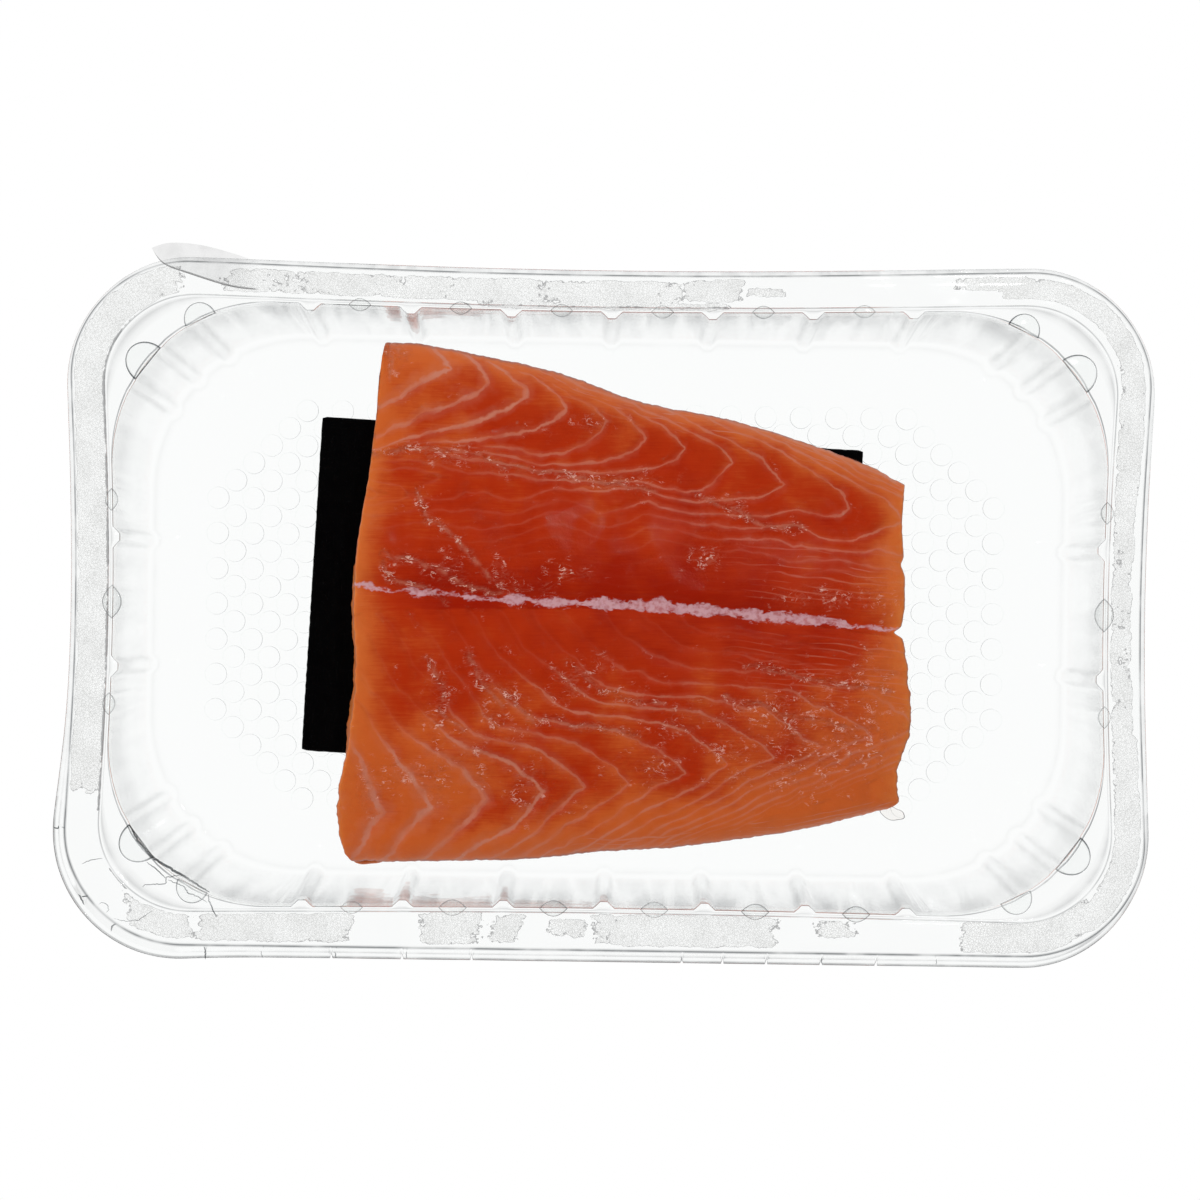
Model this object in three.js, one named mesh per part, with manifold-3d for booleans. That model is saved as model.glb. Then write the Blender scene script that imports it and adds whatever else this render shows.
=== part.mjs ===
// A raw salmon fillet in an opened clear plastic tray, with its absorbent pad and a scrap of the torn lid film.
//
// Millimetres, +Z up, +X along the tray's long side. The tray stands on Z = 0, and the origin is under the
// middle of the whole outline. Four pieces, each one closed solid: the thermoformed tray, the pad that lies
// on its base, the fillet that lies over the pad, and the film scrap on one corner of the rim.

import * as THREE from 'three';
import { mergeVertices } from 'three/addons/utils/BufferGeometryUtils.js';
import Module from 'manifold-3d';

const wasm = await Module();
wasm.setup();

// ---- driving dimensions ----

const tray = {
  halfLength: 134.2,       // flange edge to the middle, along X
  halfWidth: 84.8,         // flange edge to the middle, along Y
  height: 40,              // table to the flange's top face
  sheet: 0.8,              // thickness of the formed sheet
  flangeRadius: 30,        // corner radius of the flange's edge
  ledgeRadius: 23,         // corner radius of the step inside the flange
  wallRadius: 38,          // corner radius of the wall's top: larger, so a crescent ledge shows in each corner
  footRadius: 40,          // corner radius at the base
  flangeWidth: 8.4,
  stepDrop: 0.9,           // the ledge lies this far under the flange
  draft: 5.5,              // how far the wall leans in on its way down
  skirtDrop: 3.8,
  skirtFlare: 1.5,         // at the ends
  skirtFlareBack: 1.3,
  skirtFlareFront: 2.6,
};

// The pull of the lid film left the long back side and both ends bowed in.
const bow = { ends: 2.2, back: 2.2, frontWall: 1.2, reachX: 110, reachY: 64, power: 1.4 };

const rib = {
  pitch: 25,               // along the long walls
  perLongWall: 7,
  onShortWall: 16.1,       // either side of the middle of a short wall
  cornerTurn: 14.5,        // degrees between the ribs of a corner
  halfWidth: 2.6,
  halfCrest: 1.2,
  depth: 1.7,              // how far a rib stands into the tray
  rise: 1.1,               // its height where it runs out on the base
  runOut: 8.3,             // length of that run-out
};

// Lugs on the wall's top edge keep stacked empty trays from jamming: pointed ovals on the straight walls.
const oval = { halfLength: 3.3, halfWidth: 2.1, onShortWall: 25.3, middleSize: 1.25, sideSize: 0.85 };

// In each corner two D-shaped lugs stand on the crescent ledge, their straight side towards the food.
const cornerLugs = [
  { turn: 37.7, chordAt: 35.4, halfChord: 5.1, depth: 5.9 },
  { turn: 65.2, chordAt: 36.0, halfChord: 4.1, depth: 4.4 },
];
const lugRise = 0.5;

const pad = { length: 141, width: 87, thickness: 1.6, cornerRadius: 1.5, centre: [-6.6, 1.9], turn: -2.8 };

const film = { thickness: 0.4, lift: 0.3 };

const fillet = {
  thickness: 24,           // above the base, along the thickest line of the left half
  tailThin: 0.84,          // share of it at the right end
  edgeShare: 0.60,         // height of the long edges as a share of the crown
  crownPower: 2.4,         // how square-shouldered the cross-section is
  sideRound: 7,            // rounding of the two long edges
  cutRound: 1.8,           // rounding of the two knife cuts
  groove: 1.3,             // depth of the groove along the white line
  grooveWidth: 3.2,
  lineShare: 0.53,         // the white line's place between the front edge and the back edge
  flakeDepth: 0.8,
  finestFlake: 5,          // layers thinner than this are too fine to show as relief
  drawIn: 0.6,             // share of its rounding by which the outline draws in underneath
  clearOfRibs: 1.5,        // the long edges lie on the ends of the tray's ribs, this far over the base
};

// The muscle is layered in nested Vs that point right, one set behind the white line and one before it.
// first is the left-most V's point and pitch the step from one to the next. The points' line runs on at
// slope + curve * distance. From its point each V's inner arm, towards the white line, and its outer arm
// run back to the left, steeply for the first Vs and flatter for the later ones.
const flakesBehind = {
  first: [-41.3, 60.7], pitch: 10, slope: -0.335, curve: 0,
  inner: (u, from) => (0.1 + 0.48 * Math.exp(-from / 26)) * u,
  outer: (u) => 5.1 * (1 - Math.exp(-u / 3.5)) + 0.36 * u,
};
const flakesBefore = {
  first: [-44.3, -51.4], pitch: 12, slope: 0.115, curve: 0.0005,
  inner: (u, from) => (9.6 + 5 * Math.exp(-from / 15)) * (1 - Math.exp(-u / 8.6)) + 0.1 * u,
  outer: (u, from) => (0.38 + 0.72 * Math.exp(-from / 60)) * u,
};

const gap = 0.3;           // kept between pieces that touch
const alongSteps = 46;     // grid of the fillet's top
const acrossSteps = 40;

// The fillet's outline as seen from above, as four smooth edges and the white line along its middle.
const backEdge = [[-58.6, 64.5], [-51, 68], [-34.8, 64.2], [-13, 58.9], [7.8, 52.6], [33.9, 47.2], [64.7, 38], [76, 32.6]];
const frontEdge = [[-66.6, -65.8], [-50.6, -65], [-21.3, -63.9], [-1.1, -61.4], [19.8, -59.6], [50.9, -54.6], [75.6, -49.6]];
const leftEdge = [[-66.6, -65.8], [-68.2, -50], [-65.2, -33], [-63.8, -14], [-64.6, 2], [-63.2, 20], [-60.6, 38], [-58.6, 64.5]];
const rightEdge = [[75.6, -49.6], [74.8, -41], [77.6, -29], [76.6, -14], [75, -4], [75.7, 6], [75, 22], [76, 32.6]];
const whiteLine = [[-64.5, 4.9], [-24.2, 1.9], [23.8, -0.1], [74.6, -4.9]];

// The film scrap: torn towards the back left corner, where it overhangs the rim.
const filmOutline = [
  [-114.2, 87.7], [-111.2, 83.8], [-104.9, 81.4], [-94.7, 78.4], [-87.4, 77.6],
  [-86.9, 84.2], [-93.6, 86.5], [-102.3, 88.6], [-109.7, 89],
];

// The whole outline runs from the skirt's front lip to the film's back edge, and its middle is the origin.
const backReach = Math.max(...filmOutline.map((point) => point[1]));
const frontReach = tray.halfWidth + tray.skirtFlareFront;
const trayCentreY = (frontReach - backReach) / 2;

// ---- finishes ----

const clearPlastic = new THREE.MeshStandardMaterial({
  color: 0xe9eeee, roughness: 0.12, metalness: 0, transparent: true, opacity: 0.35,
});
const wetFlesh = new THREE.MeshStandardMaterial({ color: 0xc4521f, roughness: 0.32, metalness: 0 });
const blackPad = new THREE.MeshStandardMaterial({ color: 0x08080a, roughness: 0.92, metalness: 0 });
const hazyFilm = new THREE.MeshStandardMaterial({
  color: 0xeef0ee, roughness: 0.3, metalness: 0, transparent: true, opacity: 0.45,
});

// ---- small helpers ----

const radians = (degrees) => THREE.MathUtils.degToRad(degrees);
const smooth = (from, to, x) => THREE.MathUtils.smoothstep(x, from, to);
const splineThrough = (points) => new THREE.SplineCurve(points.map(([x, y]) => new THREE.Vector2(x, y)));

/** A closed body from points [x, y, z] and faces of three or four point numbers. */
function bodyFrom(points, faces) {
  const geometry = new THREE.BufferGeometry();
  geometry.setAttribute('position', new THREE.Float32BufferAttribute(points.flat(), 3));
  const corners = faces.flatMap((f) => (f.length === 4 ? [f[0], f[1], f[2], f[0], f[2], f[3]] : f));
  geometry.setIndex(corners);
  return geometry;
}

function toSolid(geometry) {
  const bare = geometry.clone();
  bare.deleteAttribute('normal');
  bare.deleteAttribute('uv');
  const merged = mergeVertices(bare, 1e-4);
  const mesh = new wasm.Mesh({
    numProp: 3,
    vertProperties: new Float32Array(merged.attributes.position.array),
    triVerts: new Uint32Array(merged.index.array),
  });
  return new wasm.Manifold(mesh);
}

function toGeometry(solid) {
  const mesh = solid.getMesh();
  const geometry = new THREE.BufferGeometry();
  geometry.setAttribute('position', new THREE.BufferAttribute(mesh.vertProperties, 3));
  geometry.setIndex(new THREE.BufferAttribute(mesh.triVerts, 1));
  return geometry;
}

/** A flat plate with the given outline, from z = bottom up to z = top. */
function plate(outline, bottom, top) {
  const shape = new THREE.Shape(outline.map(([x, y]) => new THREE.Vector2(x, y)));
  const geometry = new THREE.ExtrudeGeometry(shape, { depth: top - bottom, bevelEnabled: false });
  geometry.translate(0, 0, bottom);
  return geometry;
}

// ---- the tray ----

/**
 * The levels of the formed sheet's upper face, from the skirt's lip over the flange and down to the base.
 * inset is measured in from the flange's edge, and radius is the corner's. ribIn and ribUp say what share
 * of a rib's depth and rise shows there.
 */
function trayLevels() {
  const t = tray;
  const ledge = t.height - t.stepDrop;
  const wallTop = t.flangeWidth + 0.9;
  const foot = wallTop + 0.9 + t.draft;
  const level = (inset, radius, z, ribIn, ribUp, frontBow) => ({ inset, radius, z, ribIn, ribUp, frontBow });
  return [
    { ...level(0, t.flangeRadius + t.skirtFlare, t.height - t.skirtDrop, 0, 0, 0), lip: true },
    level(0, t.flangeRadius, t.height, 0, 0, 0),
    level(t.flangeWidth, t.ledgeRadius, t.height, 0, 0, bow.frontWall),
    level(t.flangeWidth + 0.4, t.ledgeRadius, ledge, 0, 0, bow.frontWall),
    level(wallTop, t.wallRadius, ledge, 1, 0, bow.frontWall),
    level(wallTop + 0.9, t.wallRadius, ledge - 1.1, 1, 0, bow.frontWall),
    level(foot - 1.3, t.footRadius, t.sheet + 1.8, 1, 0, bow.frontWall),
    level(foot, t.footRadius, t.sheet, 1, 0.7, bow.frontWall),
    level(foot + 0.5 * rib.runOut, t.footRadius - 4, t.sheet, 0, 1, bow.frontWall),
    level(foot + rib.runOut, t.footRadius - 8, t.sheet, 0, 0, bow.frontWall),
  ];
}

/** Moves each level's corner of the profile square to the sheet, to give the lower face. */
function lowerFace(levels) {
  const at = levels.map((l) => new THREE.Vector2(l.inset - (l.lip ? tray.skirtFlare : 0), l.z));
  const middle = new THREE.Vector2(tray.halfWidth, tray.sheet);
  const normal = (a, b) => new THREE.Vector2(b.y - a.y, a.x - b.x).normalize();
  return levels.map((l, i) => {
    const next = normal(at[i], at[i + 1] ?? middle);
    const last = i > 0 ? normal(at[i - 1], at[i]) : next;
    const miter = last.clone().add(next).normalize();
    const reach = tray.sheet / Math.max(0.4, miter.dot(next));
    const shift = miter.multiplyScalar(reach);
    return { ...l, inset: l.inset + shift.x, radius: l.radius - shift.x, z: l.z + shift.y };
  });
}

/** Places along a straight wall: four to a rib, so that its flanks and its crest show. */
function wallPlaces(ribCentres) {
  const across = [[-rib.halfWidth, 0], [-rib.halfCrest, 1], [rib.halfCrest, 1], [rib.halfWidth, 0]];
  return ribCentres.flatMap((centre) => across.map(([offset, share]) => ({ at: centre + offset, share })));
}

/** Places round a corner, in degrees from its first wall's direction. */
function cornerPlaces() {
  const degreesWide = THREE.MathUtils.radToDeg(rib.halfWidth / tray.wallRadius);
  const degreesCrest = THREE.MathUtils.radToDeg(rib.halfCrest / tray.wallRadius);
  const across = [[-degreesWide, 0], [-degreesCrest, 1], [degreesCrest, 1], [degreesWide, 0]];
  const ribs = [-1, 0, 1].flatMap((k) => across.map(([offset, share]) => (
    { turn: 45 + k * rib.cornerTurn + offset, share })));
  const plain = [0, 9, 18, 72, 81, 90].map((turn) => ({ turn, share: 0 }));
  return [...ribs, ...plain].sort((a, b) => a.turn - b.turn);
}

/** One round of the tray, counter-clockwise from above: four straight walls and the corners between them. */
function trayStations() {
  const half = (rib.perLongWall - 1) / 2;
  const long = wallPlaces(Array.from({ length: rib.perLongWall }, (_, i) => (i - half) * rib.pitch));
  const short = wallPlaces([-rib.onShortWall, rib.onShortWall]);
  const corners = cornerPlaces();
  const quarter = (side, places, signX, signY, reverse) => [
    ...places.map((p) => ({ side, ...p })),
    ...(reverse ? [...corners].reverse() : corners).map((c) => ({ side: 'corner', signX, signY, ...c })),
  ];
  const backwards = (places) => [...places].reverse();
  return [
    ...quarter('front', long, 1, -1, true),
    ...quarter('right', short, 1, 1, false),
    ...quarter('back', backwards(long), -1, 1, true),
    ...quarter('left', backwards(short), -1, -1, false),
  ];
}

/** Where a station lies on a level, with the outward direction there, before bow and ribs. */
function onOutline(station, level) {
  const halfLength = tray.halfLength - level.inset + (level.lip ? tray.skirtFlare : 0);
  const halfWidth = tray.halfWidth - level.inset;
  const out = { front: [0, -1], back: [0, 1], left: [-1, 0], right: [1, 0] }[station.side];
  if (station.side === 'front' || station.side === 'back') return { x: station.at, y: out[1] * halfWidth, out };
  if (station.side === 'left' || station.side === 'right') return { x: out[0] * halfLength, y: station.at, out };
  const { signX, signY } = station;
  const along = [Math.cos(radians(station.turn)), Math.sin(radians(station.turn))];
  const x = signX * (halfLength - level.radius + level.radius * along[0]);
  const y = signY * (halfWidth - level.radius + level.radius * along[1]);
  return { x, y, out: [signX * along[0], signY * along[1]] };
}

/** The finished place of a station on a level: outline, then skirt, ribs and bow. */
function trayPoint(station, level) {
  const { x, y, out } = onOutline(station, level);
  const ribIn = rib.depth * level.ribIn * station.share;
  const flareY = level.lip ? (y < 0 ? -tray.skirtFlareFront : tray.skirtFlareBack) * Math.abs(out[1]) : 0;
  const lean = level.z / tray.height;
  const mid = (value, reach) => Math.max(0, 1 - (value / reach) ** 2) ** bow.power;
  const bowY = y > 0 ? bow.back : -level.frontBow;
  const px = x - out[0] * ribIn - bow.ends * lean * mid(y, bow.reachY) * (x / tray.halfLength);
  const py = y + flareY - out[1] * ribIn - bowY * lean * mid(x, bow.reachX) * (Math.abs(y) / tray.halfWidth);
  return [px, py, level.z + rib.rise * level.ribUp * station.share];
}

function trayShell() {
  const stations = trayStations();
  const upper = trayLevels();
  const lower = lowerFace(upper);
  const count = stations.length;
  const rings = [...[...lower].reverse(), ...upper];
  const points = rings.flatMap((level) => stations.map((s) => trayPoint(s, level)));
  const faces = [];
  for (let ring = 0; ring + 1 < rings.length; ring += 1) {
    for (let i = 0; i < count; i += 1) {
      const next = (i + 1) % count;
      const a = ring * count;
      faces.push([a + i, a + next, a + count + next, a + count + i]);
    }
  }
  const underMiddle = points.push([0, 0, 0]) - 1;
  const upperMiddle = points.push([0, 0, tray.sheet]) - 1;
  const last = (rings.length - 1) * count;
  for (let i = 0; i < count; i += 1) {
    const next = (i + 1) % count;
    faces.push([underMiddle, next, i]);
    faces.push([upperMiddle, last + i, last + next]);
  }
  return bodyFrom(points, faces);
}

/** A pointed oval: two shallow arcs that meet at its ends. */
function ovalOutline(halfLength, halfWidth) {
  const steps = 4;
  const arc = (sign) => Array.from({ length: steps }, (_, i) => {
    const x = sign * halfLength * (2 * i / steps - 1);
    return [x, -sign * halfWidth * (1 - (x / halfLength) ** 2)];
  });
  return [...arc(1), ...arc(-1)];
}

/** A D: a straight side at y = 0 and half an ellipse beyond it. */
function lugOutline(halfChord, depth) {
  const steps = 8;
  return Array.from({ length: steps + 1 }, (_, i) => {
    const turn = Math.PI * i / steps;
    return [halfChord * Math.cos(turn), depth * Math.sin(turn)];
  });
}

/** Where the ovals sit: midway between the ribs of the long walls, and three on each short wall. */
function ovalPlaces() {
  const wall = trayLevels()[4];
  const places = [];
  for (let k = 0; k < rib.perLongWall - 1; k += 1) {
    const at = (k - (rib.perLongWall - 2) / 2) * rib.pitch;
    for (const side of ['front', 'back']) places.push({ side, at, share: 0, turn: 0, size: 1 });
  }
  for (const side of ['left', 'right']) {
    for (const at of [-oval.onShortWall, 0, oval.onShortWall]) {
      places.push({ side, at, share: 0, turn: 90, size: at === 0 ? oval.middleSize : oval.sideSize });
    }
  }
  return places.map((place) => ({ ...place, point: trayPoint(place, wall) }));
}

function buildTray() {
  const ledge = tray.height - tray.stepDrop;
  let solid = toSolid(trayShell());
  for (const place of ovalPlaces()) {
    const outline = ovalOutline(oval.halfLength * place.size, oval.halfWidth * place.size);
    const lug = plate(outline, ledge - tray.sheet * 0.95, ledge);
    const recess = plate(outline, ledge, tray.height + 1);
    for (const geometry of [lug, recess]) {
      geometry.rotateZ(radians(place.turn));
      geometry.translate(place.point[0], place.point[1], 0);
    }
    solid = solid.subtract(toSolid(recess)).add(toSolid(lug));
  }
  for (const { turn, chordAt, halfChord, depth } of cornerLugs) {
    for (const [signX, signY] of [[1, 1], [-1, 1], [-1, -1], [1, -1]]) {
      const wall = trayLevels()[4];
      const centreX = signX * (tray.halfLength - wall.inset - wall.radius);
      const centreY = signY * (tray.halfWidth - wall.inset - wall.radius);
      const out = [signX * Math.cos(radians(turn)), signY * Math.sin(radians(turn))];
      const geometry = plate(lugOutline(halfChord, depth), ledge - tray.sheet * 0.9, ledge + lugRise);
      geometry.rotateZ(Math.atan2(out[1], out[0]) - Math.PI / 2);
      geometry.translate(centreX + out[0] * chordAt, centreY + out[1] * chordAt, 0);
      solid = solid.add(toSolid(geometry));
    }
  }
  return toGeometry(solid);
}

// ---- the pad ----

function padOutline(grow) {
  const halfLength = pad.length / 2 + grow;
  const halfWidth = pad.width / 2 + grow;
  const r = pad.cornerRadius;
  const corner = (signX, signY, from) => [0, 45, 90].map((step) => {
    const turn = radians(from + step);
    return [signX * (halfLength - r) + r * Math.cos(turn), signY * (halfWidth - r) + r * Math.sin(turn)];
  });
  return [...corner(1, 1, 0), ...corner(-1, 1, 90), ...corner(-1, -1, 180), ...corner(1, -1, 270)];
}

function buildPad(grow, bottom, top) {
  const geometry = plate(padOutline(grow), bottom, top);
  geometry.rotateZ(radians(pad.turn));
  geometry.translate(pad.centre[0], pad.centre[1], 0);
  return geometry;
}

// ---- the fillet ----

const edges = {
  back: splineThrough(backEdge),
  front: splineThrough(frontEdge),
  left: splineThrough(leftEdge),
  right: splineThrough(rightEdge),
  line: splineThrough(whiteLine),
};

/**
 * The place seen from above of (along, across), both 0 to 1: left to right and front to back. Lines along
 * the fillet are blended between the front edge, the white line and the back edge, and then slid so that
 * their ends meet the two cuts.
 */
function filletPlace(along, across) {
  const { lineShare } = fillet;
  const behind = across > lineShare;
  const near = edges.line.getPoint(along);
  const far = (behind ? edges.back : edges.front).getPoint(along);
  const share = behind ? (across - lineShare) / (1 - lineShare) : 1 - across / lineShare;
  const point = near.clone().lerp(far, share);
  const start = edges.line.getPoint(0).lerp((behind ? edges.back : edges.front).getPoint(0), share);
  const end = edges.line.getPoint(1).lerp((behind ? edges.back : edges.front).getPoint(1), share);
  const toLeft = edges.left.getPoint(across).sub(start);
  const toRight = edges.right.getPoint(across).sub(end);
  point.addScaledVector(toLeft, (1 - along) ** 3);
  point.addScaledVector(toRight, along ** 3);
  return [point.x, point.y];
}

/**
 * The number of the muscle layer at a place: whole on the pale sheets between the flakes. The V through
 * the place is found by halving, because its point lies to the right and its arms move steadily with it.
 */
function layerAt(x, y, behind) {
  const set = behind ? flakesBehind : flakesBefore;
  const side = behind ? 1 : -1;
  const tip = (from) => set.first[1] + set.slope * from + set.curve * from * from;
  const beyond = side * (y - tip(x - set.first[0]));
  const arm = beyond > 0 ? set.outer : set.inner;
  let low = 0;
  let high = 160;
  for (let i = 0; i < 18; i += 1) {
    const u = (low + high) / 2;
    const from = Math.max(x + u - set.first[0], -20);
    const reach = Math.sign(beyond) * side * (y - tip(x + u - set.first[0]));
    if (reach > arm(u, from)) low = u;
    else high = u;
  }
  return (x + low - set.first[0]) / set.pitch;
}

/** Flakes as relief: a shallow furrow along each pale sheet, left out where the layers are too thin. */
function flakeHeight(x, y, behind) {
  const layer = layerAt(x, y, behind);
  const step = 0.5;
  const slopeX = (layerAt(x + step, y, behind) - layer) / step;
  const slopeY = (layerAt(x, y + step, behind) - layer) / step;
  const thinness = Math.hypot(slopeX, slopeY) * fillet.finestFlake;
  const furrow = (0.5 + 0.5 * Math.cos(2 * Math.PI * layer)) ** 2;
  return -fillet.flakeDepth * furrow * (1 - smooth(0.6, 1.1, thinness));
}

/** Height of the fillet's top face over the tray's base, less the rounding of its edges. */
function filletTop(along, across) {
  const { lineShare } = fillet;
  const off = Math.abs(across - lineShare) / (across > lineShare ? 1 - lineShare : lineShare);
  const crown = 1 - (1 - fillet.edgeShare) * off ** fillet.crownPower;
  const taper = 1 - (1 - fillet.tailThin) * smooth(0.1, 1, along);
  const [x, y] = filletPlace(along, across);
  const fromLine = Math.abs(y - edges.line.getPoint(along).y);
  const groove = fillet.groove * Math.exp(-((fromLine / fillet.grooveWidth) ** 2));
  return fillet.thickness * crown * taper - groove + flakeHeight(x, y, across > lineShare);
}

/** One ring of the fillet's outline, drawn in by a share of the edge rounding. */
function filletRing(inShare, heightOf) {
  const inAlong = inShare * fillet.cutRound / 140;
  const inAcross = inShare * fillet.sideRound / 110;
  const squeeze = (value, rim) => rim + value * (1 - 2 * rim);
  const places = [];
  const add = (along, across) => {
    const [x, y] = filletPlace(squeeze(along, inAlong), squeeze(across, inAcross));
    places.push([x, y, heightOf(squeeze(along, inAlong), squeeze(across, inAcross), along, across)]);
  };
  for (let i = 0; i < alongSteps; i += 1) add(i / alongSteps, 0);
  for (let j = 0; j < acrossSteps; j += 1) add(1, j / acrossSteps);
  for (let i = alongSteps; i > 0; i -= 1) add(i / alongSteps, 1);
  for (let j = acrossSteps; j > 0; j -= 1) add(0, j / acrossSteps);
  return places;
}

/** The rounding at a place on the outline: small on the knife cuts, large on the long edges. */
const edgeRound = (across) => (across === 0 || across === 1 ? fillet.sideRound : fillet.cutRound) * 0.9;

function filletBody() {
  const underside = tray.sheet + gap;
  const overRibs = (across) => fillet.clearOfRibs * (1 - smooth(0, 0.14, Math.min(across, 1 - across)));
  const rings = [
    filletRing(fillet.drawIn, (a, c, along, across) => underside + overRibs(across)),
    filletRing(0, (a, c, along, across) => Math.max(underside + 3, filletTop(a, c) - 1.2 * edgeRound(across))),
    filletRing(0.35, (a, c, along, across) => filletTop(a, c) - 0.3 * edgeRound(across)),
  ];
  const points = rings.flat();
  const perimeter = rings[0].length;
  const rim = [];
  const grid = [];
  for (let j = 0; j <= acrossSteps; j += 1) {
    for (let i = 0; i <= alongSteps; i += 1) {
      const along = fillet.cutRound / 140 + (i / alongSteps) * (1 - 2 * fillet.cutRound / 140);
      const across = fillet.sideRound / 110 + (j / acrossSteps) * (1 - 2 * fillet.sideRound / 110);
      const [x, y] = filletPlace(along, across);
      grid.push(points.push([x, y, filletTop(along, across)]) - 1);
    }
  }
  const at = (i, j) => grid[j * (alongSteps + 1) + i];
  for (let i = 0; i < alongSteps; i += 1) rim.push(at(i, 0));
  for (let j = 0; j < acrossSteps; j += 1) rim.push(at(alongSteps, j));
  for (let i = alongSteps; i > 0; i -= 1) rim.push(at(i, acrossSteps));
  for (let j = acrossSteps; j > 0; j -= 1) rim.push(at(0, j));
  const faces = [];
  for (let j = 0; j < acrossSteps; j += 1) {
    for (let i = 0; i < alongSteps; i += 1) faces.push([at(i, j), at(i + 1, j), at(i + 1, j + 1), at(i, j + 1)]);
  }
  const loops = [0, 1, 2].map((ring) => Array.from({ length: perimeter }, (_, i) => ring * perimeter + i));
  loops.push(rim);
  for (let ring = 0; ring < 3; ring += 1) {
    for (let i = 0; i < perimeter; i += 1) {
      const next = (i + 1) % perimeter;
      faces.push([loops[ring][i], loops[ring][next], loops[ring + 1][next], loops[ring + 1][i]]);
    }
  }
  const middle = points.push([0, 0, underside]) - 1;
  for (let i = 0; i < perimeter; i += 1) faces.push([middle, loops[0][(i + 1) % perimeter], loops[0][i]]);
  return bodyFrom(points, faces);
}

/** The flesh lies on the base all round the pad, and the pad presses its own shape up into it. */
function buildFillet() {
  const padTop = tray.sheet + gap + pad.thickness;
  const pressed = buildPad(gap, 0, padTop + gap);
  return toGeometry(toSolid(filletBody()).subtract(toSolid(pressed)));
}

// ---- the film scrap ----

function buildFilm() {
  const bottom = tray.height + film.lift;
  return plate(filmOutline, bottom, bottom + film.thickness);
}

// ---- the pack ----

function named(name, geometry, material) {
  const mesh = new THREE.Mesh(geometry, material);
  mesh.name = name;
  return mesh;
}

const pack = new THREE.Group();
pack.position.y = trayCentreY;
pack.add(named('tray', buildTray(), clearPlastic));
pack.add(named('absorbent_pad', buildPad(0, tray.sheet + gap, tray.sheet + gap + pad.thickness), blackPad));
pack.add(named('salmon_fillet', buildFillet(), wetFlesh));
pack.add(named('film_remnant', buildFilm(), hazyFilm));

export default pack;
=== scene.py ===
"""Raw salmon fillet on a black pad in an opened clear tray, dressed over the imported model.

All shapes are worked out in millimetres in the tray's own frame, with the tray's middle at x = y = 0 and
its foot on z = 0, and go into the mesh in metres, moved by TRAY_CENTRE_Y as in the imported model.
"""

import logging
import math
from dataclasses import dataclass, field
from enum import Enum, IntEnum, auto

import bpy
import numpy as np
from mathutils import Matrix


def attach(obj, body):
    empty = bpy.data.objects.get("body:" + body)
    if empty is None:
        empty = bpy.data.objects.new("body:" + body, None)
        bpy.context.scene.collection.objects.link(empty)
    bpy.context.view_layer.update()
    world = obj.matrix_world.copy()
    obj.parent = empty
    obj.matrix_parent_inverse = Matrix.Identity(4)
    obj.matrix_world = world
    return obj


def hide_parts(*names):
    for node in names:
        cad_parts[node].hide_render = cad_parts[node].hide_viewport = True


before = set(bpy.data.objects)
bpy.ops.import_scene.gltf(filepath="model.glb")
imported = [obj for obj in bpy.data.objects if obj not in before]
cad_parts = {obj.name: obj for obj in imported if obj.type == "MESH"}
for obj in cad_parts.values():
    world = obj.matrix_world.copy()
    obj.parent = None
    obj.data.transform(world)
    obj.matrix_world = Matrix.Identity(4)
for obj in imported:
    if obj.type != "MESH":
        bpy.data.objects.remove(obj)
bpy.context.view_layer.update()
LOG = logging.getLogger("salmon_pack")

MM = 0.001
TRAY_CENTRE_Y = -0.8


class Slot(Enum):
    """The material slots of the pieces' finishes."""

    TRAY = "clear_plastic"
    PAD = "black_pad"
    FLESH = "salmon_flesh"
    FILM = "lid_film"


# ---- numbers ----

def smoothstep(low: float, high: float, value: np.ndarray) -> np.ndarray:
    """Rises from 0 at low to 1 at high along 3t^2 - 2t^3, or falls if high is under low.

    Args:
        low: value that gives 0.
        high: value that gives 1.
        value: the values to map.

    Returns:
        The mapped values, 0 to 1.
    """
    t = np.clip((np.asarray(value, dtype=float) - low) / (high - low), 0.0, 1.0)
    return t * t * (3.0 - 2.0 * t)


def linear(red: float, green: float, blue: float) -> tuple[float, float, float, float]:
    """Turns a display colour, 0 to 255, into Blender's linear one.

    Args:
        red: red, 0 to 255.
        green: green, 0 to 255.
        blue: blue, 0 to 255.

    Returns:
        Red, green, blue and 1.
    """
    share = np.array([red, green, blue]) / 255.0
    low = share / 12.92
    high = ((share + 0.055) / 1.055) ** 2.4
    return (*(float(v) for v in np.where(share <= 0.04045, low, high)), 1.0)


def through(points: list[list[float]], share: np.ndarray) -> np.ndarray:
    """Place on the smooth curve through the points: a cubic per gap whose slopes are half the step
    between the neighbours on either side, with the end points doubled.

    Args:
        points: the curve's points, evenly spaced in share.
        share: 0 at the first point to 1 at the last.

    Returns:
        One place per share, in a last axis of the points' length.
    """
    p = np.array(points, dtype=float)
    count = len(p)
    at = np.asarray(share, dtype=float) * (count - 1)
    gap = np.clip(np.floor(at).astype(int), 0, count - 2)
    t = (at - gap)[..., None]
    p0, p1 = p[np.maximum(gap - 1, 0)], p[gap]
    p2, p3 = p[gap + 1], p[np.minimum(gap + 2, count - 1)]
    v0, v1 = (p2 - p0) / 2.0, (p3 - p1) / 2.0
    return (2 * p1 - 2 * p2 + v0 + v1) * t**3 + (-3 * p1 + 3 * p2 - 2 * v0 - v1) * t**2 + v0 * t + p1


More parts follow.
